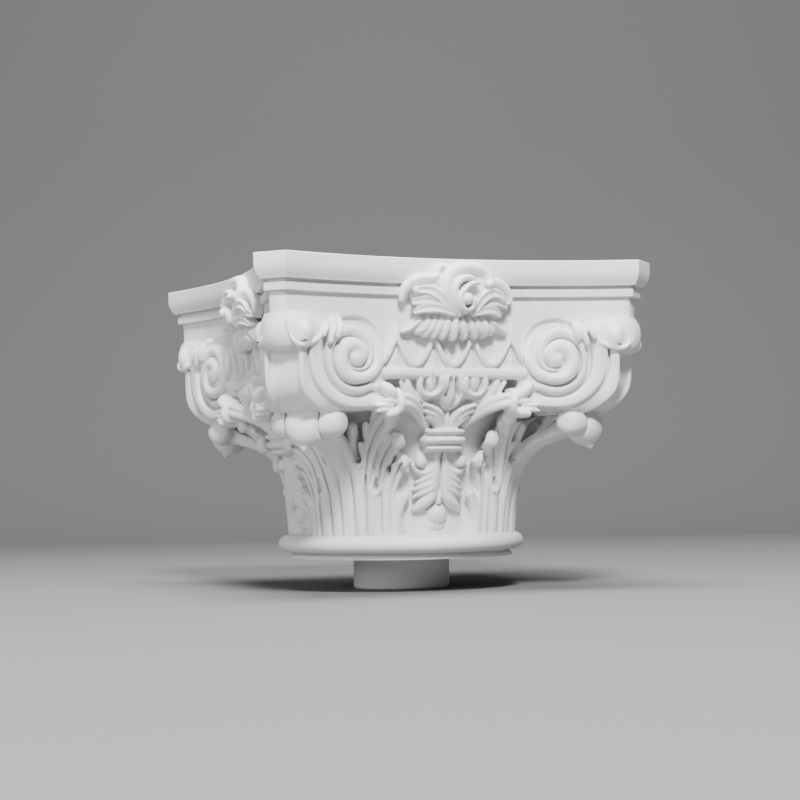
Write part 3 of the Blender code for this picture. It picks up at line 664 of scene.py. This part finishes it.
def carve_roll():
    """Rolled tip in three lobes, with hollow scrolled ends."""
    half = ((0, 185, 92.6, 15.4, 16), (6, 184.8, 93, 15.2, 15.4), (11, 184.2, 94.4, 14.8, 14),
        (14, 183.4, 95.6, 13.8, 12.8), (15.6, 182.6, 96.4, 12.4, 11.8), (16.2, 182.2, 96.6, 11.8, 11.4),
        (16.9, 182, 96.9, 12.4, 11.7), (19, 181.8, 97.2, 12.9, 11.9), (24, 181, 97.6, 12.9, 11.8),
        (28.5, 180.4, 98, 12, 11.2), (31.6, 180, 98.4, 10.2, 9.8), (33.6, 179.8, 98.6, 7.6, 7.6),
        (34.4, 179.7, 98.8, 5, 5))
    rings = []
    for q, reach, z, out, up in tuple((-q, *rest) for q, *rest in reversed(half[1:])) + half:
        rings.append([diagonal(reach + out * cos(2 * pi * i / 40), q, z + up * sin(2 * pi * i / 40))
            for i in range(40)])
    loft(rings, eighth)
    # small pointed tip under the middle lobe
    rings = []
    for reach, z, wide in flowing([(184, 80, 8), (188, 78, 6), (191, 76.6, 3.4), (192.6, 76, 1)], 4):
        rings.append([diagonal(reach + 1.6 * sin(t), wide * cos(t), z + 2.6 * sin(t))
            for t in (2 * pi * j / 16 for j in range(16))])
    loft(rings, eighth)
    for side in (-1, 1):
        def round_lobe(degree, q, rise):
            a = radians(degree)
            out = Vector((1, -1, 0)).normalized() * cos(a) + UP * sin(a)
            return diagonal(182.2, q, 96.6) + out * (11.8 + rise) * unit(), out

        furrow(round_lobe, [(a, side * 16.2, 0.6, 0.9, 3.4) for a in range(-110, 91, 20)], 2)
        curl = ((-76, 32.6, -1, 0.5, 1.2), (-58, 31, -0.2, 0.8, 2.6), (-38, 29.8, 0.2, 0.9, 3),
                (-18, 29.8, 0.2, 0.8, 2.6), (0, 31, 0, 0.6, 1.8))
        furrow(round_lobe, [(a, side * q, rise, half, deep) for a, q, rise, half, deep in curl], 3)


def carve_side_leaves():
    """Leaves stacked on each flank of the corner leaf, from behind the tongue down to the curled edge."""
    spine = [(9.6, 38, 110, 3, 2), (10, 48, 112, 3.8, 3), (10.9, 60, 115, 4.8, 3.6), (13, 76, 121, 6, 4),
             (16.6, 90, 131, 7, 4.6), (20, 100, 141, 7.2, 5), (22.2, 104.6, 147, 6.4, 5)]
    acanthus(spine, [(0.62, -1, 30, 27, 3.7, 14), (0.48, -1, 27, 25, 3.7, 12), (0.34, -1, 25, 22, 3.4, 9),
                     (0.82, 1, 36, 14, 3.4, 5), (0.7, 1, 42, 17, 3.5, 4), (0.57, 1, 46, 17, 3.3, 4),
                     (0.86, -1, 36, 13, 3.4, 6)], 16)
    # round lobe beside the tongue
    blade(beside, [(4.6, 66, 113, 3, 3), (4.9, 76, 119, 4.4, 5), (6, 87, 126, 4.9, 5.6),
        (6.8, 93.4, 130, 4.7, 5.4)], (14, 6), 4)
    pebble(beside(7, 95.4, 130.6), (5.1, 5.4, 5.4))
    spine = [(14.8, 36, 108, 3, 2), (15.8, 48, 110, 4, 3), (17.2, 62, 113, 5, 3.6), (20, 74, 118, 6.4, 4),
             (23, 81.6, 124.4, 7, 4.6), (24.4, 84.6, 128, 6.4, 5)]
    acanthus(spine, [(0.62, -1, 28, 16, 3.4, 7), (0.46, -1, 26, 14, 3.1, 5), (0.68, 1, 44, 13, 3.4, 5),
                     (0.54, 1, 46, 13, 3.3, 4), (0.38, 1, 46, 12, 3.0, 3)], 13)
    spine = [(20.4, 24, 105, 2.6, 2), (21.4, 40, 106.4, 3.8, 2.8), (24, 55, 109, 5.2, 3.4),
             (26, 62.6, 112.4, 6, 4.2), (26.8, 65, 114, 5.4, 4.4)]
    acanthus(spine, [(0.6, -1, 28, 14, 3.1, 4), (0.42, -1, 28, 12, 2.9, 3), (0.64, 1, 42, 11, 3.1, 3)], 10)
    blade(beside, [(23, 0, 102, 2.6, 2), (24, 18, 103, 3.4, 3), (26, 29.6, 104, 4.4, 3.6),
        (27.6, 34.6, 104.6, 4.8, 4)], (8, 3), 4)
    # drilled eyelets between the leaves
    for d, z, r, half, high in ((14.1, 44, 113, 2.4, 8.5), (7.5, 68, 121, 2.6, 7)):
        furrow(beside, [(d - 0.3, z - high * 0.6, r, half * 0.7, 5),
            (d - 0.1, z - high * 0.35, r, half, 10), (d, z, r, half * 0.9, 11),
            (d + 0.3, z + high * 0.6, r, half * 0.5, 8), (d + 0.5, z + high, r, 0.3, 3)])
    for d, z, r, wide, high in ((14, 40.5, 110.2, 1.9, 4.6), (7.2, 64.6, 117.6, 2.0, 4.2)):
        ridge(beside, [(d + wide * sin(radians(a)), z - high * cos(radians(a)), r, 1.6, 3)
            for a in range(-110, 111, 22)], 5, 2)


# Middle of the face

def carve_band():
    """Row of hanging arches over a bar."""
    ridge(on_wall, [(x, 141.2, -0.5, 3.8, 4.6) for x in (-8, 0, 20, 40, 68)], shape=STRAP)
    for x in (0, 36, 72):
        arch = [(-18, 184), (-17.8, 177), (-16.4, 170), (-14, 164), (-11, 158), (-7.4, 152.8),
            (-3.6, 149.2), (0, 148), (3.6, 149.2), (7.4, 152.8), (11, 158), (14, 164), (16.4, 170),
            (17.8, 177), (18, 184)]
        if x == 72:
            arch = arch[:8]
        ridge(on_wall, [(x + a, z, -0.5, 2.4 if z < 180 else 1.6, 5.2 if z < 180 else 2) for a, z in arch],
            4, 4, shape=STRAP)
    for x in (18, 54):
        ridge(on_wall, [(x, 144, -0.5, 8, 2), (x, 149, -0.5, 6, 3), (x, 155, -0.5, 3.6, 3.2),
            (x, 161.6, -0.5, 1, 2.2)], shape=KEEL)
        for side in (-1, 1):
            furrow(on_wall, [(x + side * 11, 146.6, 4, 0.6, 2.6), (x + side * 7.8, 150.8, 4, 0.9, 5),
                (x + side * 3.8, 158.4, 4, 0.9, 5), (x + side * 1.1, 165, 4, 0.5, 3)])
    inner = ((14.8, 180, 0.6), (13.8, 174, 0.9), (12, 168, 0.9), (9.2, 161.8, 0.9), (6, 156.8, 0.9),
        (3, 153.6, 0.8), (0, 152.4, 0.7))
    for x in (0, 36):
        for side in (-1, 1):
            furrow(on_wall, [(x + side * a, z, 3.8, half, 4.8) for a, z, half in inner])


def across_bell(x, z, rise):
    """Point and normal at x to the right, a rise above the bell."""
    radius = straight(BELL_CURVE, z) + rise
    return on_bell(degrees(asin(x / radius)), z, rise)


def carve_buds():
    """Hanging bud with its cup, its side leaf and the pointed flower on the middle."""
    ridge(across_bell, [(20.5 + 10 * sin(radians(a)), 131.6 - 10 * cos(radians(a)), 8, 2.7, 5)
        for a in range(-110, 111, 20)], 12, 3, blunt=(True, True))
    blade(across_bell, [(20.5, 139, 6, 3.2, 3), (20.5, 133.6, 7, 4.6, 4.4), (20.5, 128.4, 7, 3.4, 4)], 9, 4)
    furrow(across_bell, [(20.5, 140, 12, 1, 3), (20.5, 134, 12, 1.1, 4), (20.5, 129, 11, 0.7, 3)])
    # long sepal under the cup, up to the bar
    blade(across_bell, [(21, 117.6, 5, 1.2, 2), (28, 118.6, 7, 2.6, 4.4), (35, 123, 9, 2.9, 5),
        (40, 130, 10, 2.7, 5), (43, 139, 9, 2.2, 4)], 12, 4)
    blade(across_bell, [(27, 115.6, 5, 1.0, 2), (36, 118.6, 8, 2.2, 4), (43.6, 125, 11, 2.4, 4.4),
        (48, 133, 13, 2.0, 4)], 12, 4)
    ridge(across_bell, [(14, 119.6, 5, 1.2, 3), (9, 124, 6.6, 2.3, 4.4), (6.6, 131, 7, 2.4, 4.6),
        (6, 139, 7, 2, 4)], 12)
    # stem and pointed flower on the middle
    ridge(across_bell, [(0, 139, 6, 1.7, 4), (0, 132, 6, 1.8, 4), (0, 126, 6, 3, 5), (0, 119.6, 6, 5, 5.4),
        (0, 114, 5, 4.2, 5), (0, 108.6, 4, 1.6, 3)], 10, 4, shape=KEEL)
    blade(across_bell, [(1.6, 111, 5, 1.8, 3.6), (5.4, 115, 6.4, 3, 5), (8.6, 121, 6.4, 2.4, 4.6)], 10, 4,
        shape=KEEL)


def carve_stems():
    """Stem that swings from the volute down to the tie, with its binding, feathers and leaves."""
    ridge(brought_forward, [(57, 113.6, 3, 3.8, 4), (50, 114.2, 3.8, 4, 5), (42, 112.6, 4.4, 4.1, 5.6),
        (34, 109.2, 5, 4.1, 5.8), (26.6, 104.6, 5.6, 4, 5.8), (20, 99.2, 6.2, 3.9, 5.8),
        (15.4, 95, 6.6, 3.7, 5), (13, 91.6, 5, 3, 3.6)], 14)
    ridge(brought_forward, [(54, 121, 3, 2.6, 3.6), (46, 120.4, 4.4, 3, 4.8), (37, 117.4, 5, 3, 5),
        (29, 112.8, 5.6, 2.6, 4.6), (22, 107, 6, 1.8, 3.6)], 12)
    for root, bend, tip, half in (((3, 92, 10), (8, 106.6, 11), (23, 114, 9), 2.7),
            ((4.4, 92, 10), (11, 103.4, 11.4), (21.4, 108.6, 10), 2.5),
            ((6.4, 92, 10), (12.6, 99.8, 11.6), (18.6, 103.6, 10.6), 2.4)):
        blade(across_bell, [(*root, 1.6, 3.4), (*bend, half, 5), (*tip, half * 0.8, 4)], (13, 8))
    ridge(across_bell, [(0, 107, 7, 1.2, 3), (0, 99, 9, 1.8, 4), (0, 91, 10, 2, 4)], 11)
    # binding, with a pod over it and pointed leaves under it
    ridge(brought_forward, [(53.6, 126, 3, 2.4, 5), (53, 120.4, 7, 3, 5.6), (52.4, 113.4, 8.4, 3.1, 5.6),
        (52.4, 107.6, 6, 2.6, 5)], 16, 4, blunt=(True, True))
    blade(brought_forward, [(55, 117.6, 5, 3, 3.6), (60, 122.6, 7, 4.8, 6), (65, 127, 6.4, 5, 6),
        (68.6, 130, 4.6, 3.6, 4.8)], 14, 4)
    blade(brought_forward, [(54, 109.4, 6, 3, 3.6), (59, 106.4, 8, 4.4, 5.4), (64, 104.6, 8, 3.4, 5)], 12,
        4)
    for root, tip in (((60, 111.4, 7), (73.6, 112.2, 8)), ((61, 108.4, 7), (74, 107.4, 8)),
            ((57, 114.6, 7), (68.6, 116.4, 7.6))):
        middle = ((root[0] + tip[0]) / 2, (root[1] + tip[1]) / 2 + 0.6, tip[2])
        blade(brought_forward, [(*root, 1.6, 3), (*middle, 2.3, 4), (*tip, 1.4, 3)], 10, 4)


def carve_tie():
    """Three rolls that tie the stems on the middle of a face."""
    for z, half, rise, reach in ((90.6, 3.2, 12, 7.6), (83.2, 4.9, 13.6, 8.4), (76, 2.9, 12, 7.6)):
        blade(on_bell, [(a, z, 8 - 7 * (max(abs(a) - 3, 0) / 7) ** 2, half, rise)
            for a in (-2, 0, reach * 0.4, reach * 0.75, reach)], 16, 3)
    for z in (87.2, 79):
        furrow(on_bell, [(a, z, 19.6 - 7 * (max(abs(a) - 3, 0) / 7) ** 2, 0.6, 4)
            for a in (-2, 0, 4, 8, 9.6)])


def carve_husk():
    """Scrolled curl, feathered husk leaves and the bud below the tie."""
    blade(on_bell, [(1.4, 82, 5, 2.6, 4), (1.6, 72, 5.4, 2.8, 4.6), (2.6, 62.6, 5.6, 3.0, 5),
        (5, 56.6, 5.4, 3.2, 5.4), (8.8, 54.6, 5, 3.2, 5.4), (12.2, 57.8, 4.4, 2.8, 5),
        (14, 62.6, 4, 1.8, 4)], 9, 4)
    pebble(on_bell(6.4, 67, 1), (10.5, 13, 6))
    pebble(on_bell(10, 64.6, 7), (5.8, 6.4, 6.8))
    furrow(on_bell, [(6, 69, 8, 0.5, 1.4), (5.9, 64, 9, 0.8, 3), (7.6, 59.8, 10, 0.9, 3.4),
        (10.4, 58.8, 10, 0.8, 3), (12.6, 61, 9, 0.5, 1.4)])
    for root, bend, tip, half in (((0.8, 68, 5), (3.2, 54, 6), (12, 46, 4.8), 2.8),
            ((0.7, 63, 5), (3.2, 48, 6.4), (13, 39.6, 4.8), 2.9),
            ((0.6, 58, 5), (3.2, 42.6, 6.6), (13, 33.4, 4.4), 3.0),
            ((0.6, 50, 5), (4, 34.4, 6), (12.8, 22, 3), 4.8)):
        sweep = ((bend[0] + tip[0]) / 2, (bend[1] + tip[1]) / 2 - 0.8, (bend[2] + tip[2]) / 2)
        blade(on_bell, [(*root, 1.8, 3), (*bend, half, 5.6), (*sweep, half * 1.02, 5.2),
            (*tip, half * 0.4, 3)], (9, 4))
    ridge(on_bell, [(0, 40, 2.4, 1.2, 3), (0, 33, 4.4, 1.8, 4.4), (0, 27, 4.6, 2.8, 4.6)], 8)
    furrow(on_bell, [(0, 76, 9, 0.8, 3.6), (0, 66, 9, 1.0, 4.4), (0, 54, 8.6, 1.0, 4.4),
        (0, 44, 6.6, 0.5, 1.8)])
    pebble(on_bell(0, 18.4, 0.8), (9.6, 9.4, 8.6))
    pebble(on_bell(0, 8.8, -1), (9, 5, 5))
    furrow(on_bell, [(-6, 14.4, 6, 0.6, 2.4), (-3, 11.2, 8.6, 0.8, 3.4), (0, 10.4, 9.4, 0.8, 3.4),
        (3, 11.2, 8.6, 0.8, 3.4), (6, 14.4, 6, 0.6, 2.4)])
    for a, lean in ((1.4, 0.6), (3.8, 2)):
        furrow(on_bell, [(a, 11, 6, 0.5, 2), (a + lean * 0.6, 7.6, 5, 0.6, 2.4),
            (a + lean, 4.6, 3, 0.4, 1.6)])


def on_boss(x, z, rise):
    """Point and normal at x to the right, a rise above the domed ground of the flower."""
    swell = 12 * (1 - min((x / 54) ** 2 + ((z - 212) / 32) ** 2, 1.0))
    normal = Vector((x / 90, -1, 0)).normalized()
    return front(x, 148 + swell + rise, z), normal


def carve_flower():
    """Scrolled acanthus flower over hanging petals, in the middle of the abacus."""
    rings = []
    for w, grow in ((130, 0.9), (150, 0.92), (156, 0.75), (159, 0.5)):
        rings.append([front(46 * grow * cos(pi * i / 12), w, 212 + 24 * grow * sin(pi * i / 12))
            for i in range(24)])
    loft(rings, flower)

    def curl(stations, rise, tall, shape=CROWN):
        count = len(stations) - 1
        blade(on_boss, [(x, z, rise, half, tall * (0.7 + 0.3 * i / count))
            for i, (x, z, half) in enumerate(stations)], 10, shape=shape, kept=flower)

    # broad leaf that sweeps up and rolls over to the right
    curl([(1.7, 190, 3.2), (-7.4, 198.5, 5), (-12.2, 210.1, 6), (-10.6, 221, 6.2), (-3.6, 228.8, 5.8),
        (6, 231.9, 5.6), (16.5, 231.6, 5.6), (25, 228.4, 4.8), (28.4, 222.4, 4), (27.2, 217.6, 3.6)], 2.5,
        7.4)
    pebble(on_boss(27, 217, 7), (4.6, 4.2, 5), flower)
    # tongue and spiral round the berry
    curl([(6.2, 192.3, 2.4), (-3.6, 199, 2.8), (-5.6, 210.9, 3), (-2, 219, 3.2), (5, 222.6, 3),
        (11, 222, 2.2)], 5, 6)
    curl([(17, 218, 2), (8.7, 216.6, 2.2), (1.6, 211, 2.4), (-1.6, 204, 2.4), (0.4, 197, 2.6),
        (5.6, 194, 2.7), (10.4, 197.4, 2.5), (11.6, 203.6, 2)], 7, 6)
    pebble(on_boss(4.8, 203.8, 9), (4.8, 5.4, 6.4), flower)
    # right scrolls
    curl([(12, 191, 2.4), (17.5, 200, 3.8), (23, 206.6, 4.4), (30.7, 209.6, 4.4), (37.6, 207.6, 3.8),
        (41.6, 203.6, 2.4)], 4, 6, CHANNEL)
    curl([(21, 209.5, 2.6), (27, 217, 4.2), (36.3, 219.4, 4.8), (44.6, 215.2, 4.6), (49, 208.4, 3.8),
        (48.4, 202.4, 2.4)], 1, 6.4)
    # left scrolls
    curl([(-49, 202, 2.8), (-48.4, 209.6, 4.2), (-43, 217.2, 5.2), (-35, 221.7, 5.2), (-26.1, 222.3, 4.4),
        (-19.8, 223, 3.4)], 1, 6.6)
    curl([(-14.5, 213, 3), (-19.4, 221.8, 4), (-18.4, 229.6, 4.2), (-13, 232.6, 3.8), (-8.6, 230.1, 2.8)],
        0.6, 6.4)
    curl([(-9, 195.4, 2.4), (-17.8, 205.4, 4.4), (-26.1, 211, 4.6), (-34.7, 211.4, 3.4)], 3, 6, CHANNEL)
    pebble(on_boss(-38, 211.5, 3), (3.4, 3.4, 4), flower)
    # leaves spread at the foot
    for rise, stations in ((2.4, [(-3.9, 191.4, 1.8), (-16.5, 200, 4), (-28, 202.8, 4.2), (-39, 201.5, 3)]),
            (4.4, [(-3.9, 190.4, 1.8), (-18.1, 195.4, 3.8), (-29.7, 195.7, 4), (-38, 193.4, 2.6)]),
            (2.4, [(12.2, 191.3, 1.8), (23.1, 200, 4.2), (33, 202.6, 4.4), (44.4, 199.3, 2.8)]),
            (4.4, [(12.2, 190.4, 1.8), (23.1, 194.6, 3.9), (31.4, 194.6, 4), (38.4, 191.2, 2.6)])):
        curl(stations, rise, 5.6, CHANNEL)
    # hanging petals, laid over one another from the middle outwards
    for i, (top, tip, low) in enumerate(((-25.6, -34.6, 173), (-19.8, -28.2, 170.6), (-14, -20.8, 169.4),
            (-8.3, -12.6, 168.6), (-1.6, -3.2, 167.6), (5.4, 7.8, 168.6), (12, 17.8, 169.4),
            (19, 26.8, 170.6), (25.4, 34.2, 173))):
        lift = 3.2 - 0.9 * abs(i - 4)
        blade(on_wall, [(top * 0.9, 194, 2 + lift, 2.0, 5), (top, 187.4, 7 + lift, 3.4, 6.6),
            ((top + tip) / 2, 179.6, 8.4 + lift, 4.2, 6.6), (tip, low + 4, 7 + lift, 3.6, 5.4)], (12, 5),
            kept=flower)
    for side in (-1, 1):
        blade(on_wall, [(side * 27, 190.6, 2, 3, 4), (side * 35, 185, 6, 4.4, 6.6),
            (side * 42, 179.4, 5, 3.8, 6), (side * 48, 176.4, 3, 2.4, 4)], (9, 5), shape=KEEL, kept=flower)


# Casting

def linked(name, mesh):
    item = bpy.data.objects.new(name, mesh)
    bpy.context.scene.collection.objects.link(item)
    return item


def joined(name, meshes):
    bm = bmesh.new()
    for mesh in meshes:
        bm.from_mesh(mesh)
    whole = bpy.data.meshes.new(name)
    bm.to_mesh(whole)
    bm.free()
    return linked(name, whole)


def settle(item):
    """Apply an object's modifiers."""
    graph = bpy.context.evaluated_depsgraph_get()
    mesh = bpy.data.meshes.new_from_object(item.evaluated_get(graph))
    item.modifiers.clear()
    item.data = mesh


def flowed(name, meshes, grain, smooth):
    """Bodies of a list flowed into one skin of this grain."""
    item = joined(name, meshes)
    flow = item.modifiers.new("flow", "REMESH")
    flow.mode = "VOXEL"
    flow.voxel_size = grain
    if smooth:
        soft = item.modifiers.new("soft", "SMOOTH")
        soft.factor = 0.5
        soft.iterations = smooth
    settle(item)
    return item


def cut_away(item, tool):
    carve = item.modifiers.new("drilled", "BOOLEAN")
    carve.operation = "DIFFERENCE"
    carve.object = tool
    carve.solver = "MANIFOLD"
    settle(item)
    bpy.data.objects.remove(tool)


def thinned(item, facets):
    thin = item.modifiers.new("facets", "DECIMATE")
    count = sum(len(face.vertices) - 2 for face in item.data.polygons)
    thin.ratio = min(1.0, facets / count)
    settle(item)


def cast():
    """Flow, drill and thin an eighth and a flower, repeat them round the capital, and add the mouldings."""
    s = sizes()
    part = flowed("eighth", eighth, s.flow, 2)
    cut_away(part, flowed("drills", cuts, s.flow * 0.6, 1))
    bm = bmesh.new()
    bm.from_mesh(part.data)
    margin = 0.004
    for normal in (Vector((1, 0, 0)), Vector((-1, -1, 0)).normalized()):
        bmesh.ops.bisect_plane(bm, geom=bm.verts[:] + bm.edges[:] + bm.faces[:], dist=1e-7,
            plane_co=-normal * margin, plane_no=normal, clear_inner=True)
    bm.to_mesh(part.data)
    bm.free()
    thinned(part, s.carved_facets)
    whole = bmesh.new()
    bm = bmesh.new()
    bm.from_mesh(part.data)
    for normal in (Vector((1, 0, 0)), Vector((-1, -1, 0)).normalized()):
        bmesh.ops.bisect_plane(bm, geom=bm.verts[:] + bm.edges[:] + bm.faces[:], dist=1e-6,
            plane_co=(0, 0, 0), plane_no=normal, clear_inner=True)
    bmesh.ops.triangulate(bm, faces=bm.faces)
    bm.to_mesh(part.data)
    bm.free()
    twin = part.data.copy()
    twin.transform(Matrix.Scale(-1, 4, Vector((1, 0, 0))))
    twin.flip_normals()
    petals = flowed("flower", flower, s.flow * 0.9, 1)
    thinned(petals, s.flower_facets)
    for quarter in range(4):
        turn = Matrix.Rotation(quarter * pi / 2, 4, "Z")
        for mesh in (part.data, twin, petals.data):
            copy = mesh.copy()
            copy.transform(turn)
            whole.from_mesh(copy)
    bmesh.ops.remove_doubles(whole, verts=whole.verts, dist=2e-6)
    for mesh in crisp:
        whole.from_mesh(mesh)
    mesh = bpy.data.meshes.new("capital_casting")
    whole.to_mesh(mesh)
    whole.free()
    for item in (part, petals):
        bpy.data.objects.remove(item)
    casting = linked("capital_casting", mesh)
    mesh.shade_smooth()
    mesh.set_sharp_from_angle(angle=radians(38))
    return casting


# Materials

def add_node(tree, kind, settings=(), links=()):
    """Add a node, set its named sockets or properties, and link its inputs."""
    node = tree.nodes.new(kind)
    for name, value in dict(settings).items():
        if hasattr(node, name):
            setattr(node, name, value)
        else:
            node.inputs[name].default_value = value
    for name, socket in dict(links).items():
        tree.links.new(socket, node.inputs[name])
    return node


def white_primed_polyurethane():
    """Moulded rigid polyurethane with a sprayed white primer: chalky, with a faint orange peel."""
    colours = bpy.context.scene.capital_colours
    material = bpy.data.materials.new("white primed moulded polyurethane")
    material.use_nodes = True
    tree = material.node_tree
    shader = tree.nodes["Principled BSDF"]
    place = add_node(tree, "ShaderNodeTexCoord")
    # scales count per metre: clouds of thicker primer about 71 mm across, orange peel about 1.1 mm
    clouds_per_metre, dimples_per_metre = 14.0, 900.0
    cloud = add_node(tree, "ShaderNodeTexNoise", {"Scale": clouds_per_metre, "Detail": 3.0},
        {"Vector": place.outputs["Object"]})
    peel = add_node(tree, "ShaderNodeTexNoise", {"Scale": dimples_per_metre, "Detail": 2.0},
        {"Vector": place.outputs["Object"]})
    shade = add_node(tree, "ShaderNodeMix", {"data_type": "RGBA"}, {"Factor": cloud.outputs["Fac"]})
    shade.inputs[6].default_value = colours.primer
    shade.inputs[7].default_value = colours.hollow
    bump = add_node(tree, "ShaderNodeBump", {"Strength": 0.08, "Distance": 0.0002},
        {"Height": peel.outputs["Fac"]})
    tree.links.new(shade.outputs[2], shader.inputs["Base Color"])
    tree.links.new(bump.outputs["Normal"], shader.inputs["Normal"])
    shader.inputs["Roughness"].default_value = 0.5
    shader.inputs["IOR"].default_value = 1.5
    shader.inputs["Specular IOR Level"].default_value = 0.4
    return material


def matt_studio_paper():
    """Rolled paper backdrop with an uncoated face: even grey without a highlight."""
    material = bpy.data.materials.new("matt studio paper")
    material.use_nodes = True
    shader = material.node_tree.nodes["Principled BSDF"]
    shader.inputs["Base Color"].default_value = bpy.context.scene.capital_colours.floor
    shader.inputs["Roughness"].default_value = 0.9
    shader.inputs["Specular IOR Level"].default_value = 0.1
    return material


# Stage

def add_camera():
    """Camera with the lens, place and direction fitted to the reference view."""
    data = bpy.data.cameras.new("camera")
    data.lens = 82.79
    data.sensor_width = 36.0
    camera = bpy.data.objects.new("camera", data)
    bpy.context.scene.collection.objects.link(camera)
    back = Vector((-0.33682857, -0.94042245, -0.04639108))
    turn = radians(-19.71)
    right = Vector((cos(turn), sin(turn), 0))
    up = back.cross(right)
    roll = radians(-0.98)
    across = right * cos(roll) + up * sin(roll)
    above = up * cos(roll) - right * sin(roll)
    camera.matrix_world = Matrix.Translation(Vector((-0.58474, -1.63651, 0.09586))) @ Matrix((across, above,
        back)).transposed().to_4x4()
    bpy.context.scene.camera = camera


def add_softbox(name, place, aim, size, power):
    data = bpy.data.lights.new(name, "AREA")
    data.shape = "RECTANGLE"
    data.size, data.size_y = size
    data.energy = power
    light = bpy.data.objects.new(name, data)
    light.location = place
    light.rotation_euler = (Vector(aim) - Vector(place)).to_track_quat("-Z", "Y").to_euler()
    bpy.context.scene.collection.objects.link(light)


def add_stage():
    bm = bmesh.new()
    profile = [(-2.6, 0.0), (1.6, 0.0)]
    for i in range(1, 13):
        a = pi / 2 * i / 12
        profile.append((1.6 + 0.9 * sin(a), 0.9 * (1 - cos(a))))
    profile.append((2.5, 3.4))
    rows = [[bm.verts.new((x, y, z)) for x in (-3.5, 3.5)] for y, z in profile]
    for near, far in zip(rows, rows[1:]):
        bm.faces.new((near[0], near[1], far[1], far[0]))
    mesh = bpy.data.meshes.new("backdrop")
    bm.to_mesh(mesh)
    bm.free()
    mesh.shade_smooth()
    sweep = linked("backdrop", mesh)
    sweep.rotation_euler = (0, 0, radians(-19.71))
    mesh.materials.append(matt_studio_paper())
    world = bpy.data.worlds.new("studio")
    world.use_nodes = True
    world.node_tree.nodes["Background"].inputs["Color"].default_value = (1, 1, 1, 1)
    world.node_tree.nodes["Background"].inputs["Strength"].default_value = 0.1
    bpy.context.scene.world = world
    add_softbox("key", (-0.5, -2.0, 1.85), (0, 0, 0.16), (0.5, 0.5), 150)
    add_softbox("top", (-0.2, -0.4, 2.2), (0, 0, 0.2), (1.2, 0.9), 112)
    add_softbox("fill", (-2.0, -0.9, 0.8), (0, 0, 0.12), (1.0, 1.0), 24)
    add_camera()


# Operators

class CAPITAL_OT_mouldings(bpy.types.Operator):
    """Turn the foot and run the mouldings of the abacus"""
    bl_idname = "capital.mouldings"
    bl_label = "Foot, bell and abacus"

    def execute(self, context):
        carve_foot()
        carve_bell()
        carve_abacus()
        return {"FINISHED"}


class CAPITAL_OT_volutes(bpy.types.Operator):
    """Carve the scrolls of the corners with their volutes and hoods"""
    bl_idname = "capital.volutes"
    bl_label = "Volutes and hoods"

    def execute(self, context):
        carve_scroll_body()
        carve_volutes()
        carve_hood()
        return {"FINISHED"}


class CAPITAL_OT_corner_leaves(bpy.types.Operator):
    """Carve the acanthus leaves of the corners"""
    bl_idname = "capital.corner_leaves"
    bl_label = "Corner leaves"

    def execute(self, context):
        carve_blade()
        carve_tongue()
        carve_roll()
        carve_side_leaves()
        return {"FINISHED"}


class CAPITAL_OT_face(bpy.types.Operator):
    """Carve the band of arches, the buds, stems, tie and husk in the middle of a face"""
    bl_idname = "capital.face"
    bl_label = "Band, buds, stems, tie and husk"

    def execute(self, context):
        carve_band()
        carve_buds()
        carve_stems()
        carve_tie()
        carve_husk()
        return {"FINISHED"}


class CAPITAL_OT_flowers(bpy.types.Operator):
    """Carve the flower over the middle of the abacus"""
    bl_idname = "capital.flowers"
    bl_label = "Flowers"

    def execute(self, context):
        carve_flower()
        return {"FINISHED"}


class CAPITAL_OT_casting(bpy.types.Operator):
    """Cast all carving and mouldings as one piece and prime it white"""
    bl_idname = "capital.casting"
    bl_label = "Cast the capital"

    def execute(self, context):
        casting = cast()
        casting.data.materials.append(white_primed_polyurethane())
        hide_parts("capital")
        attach(casting, "root")
        return {"FINISHED"}


class CAPITAL_OT_stage(bpy.types.Operator):
    """Set up the floor, backdrop, lights and camera"""
    bl_idname = "capital.stage"
    bl_label = "Stage"

    def execute(self, context):
        add_stage()
        return {"FINISHED"}


STEPS = (CAPITAL_OT_mouldings, CAPITAL_OT_volutes, CAPITAL_OT_corner_leaves, CAPITAL_OT_face,
    CAPITAL_OT_flowers, CAPITAL_OT_casting, CAPITAL_OT_stage)


class CAPITAL_PT_panel(bpy.types.Panel):
    """Lists the steps, sizes and colours"""
    bl_idname = "CAPITAL_PT_panel"
    bl_label = "Capital"
    bl_space_type = "VIEW_3D"
    bl_region_type = "UI"
    bl_category = "Capital"

    def draw(self, context):
        for step in STEPS:
            self.layout.operator(step.bl_idname)
        for group in (context.scene.capital_sizes, context.scene.capital_colours):
            for name in group.__annotations__:
                self.layout.prop(group, name)


CLASSES = (CapitalSizes, CapitalColours) + STEPS + (CAPITAL_PT_panel,)


def register():
    for item in CLASSES:
        bpy.utils.register_class(item)
    bpy.types.Scene.capital_sizes = PointerProperty(type=CapitalSizes)
    bpy.types.Scene.capital_colours = PointerProperty(type=CapitalColours)


def unregister():
    del bpy.types.Scene.capital_colours
    del bpy.types.Scene.capital_sizes
    for item in reversed(CLASSES):
        bpy.utils.unregister_class(item)


def main():
    register()
    for step in STEPS:
        group, name = step.bl_idname.split(".")
        getattr(getattr(bpy.ops, group), name)()


if __name__ == "__main__":
    main()
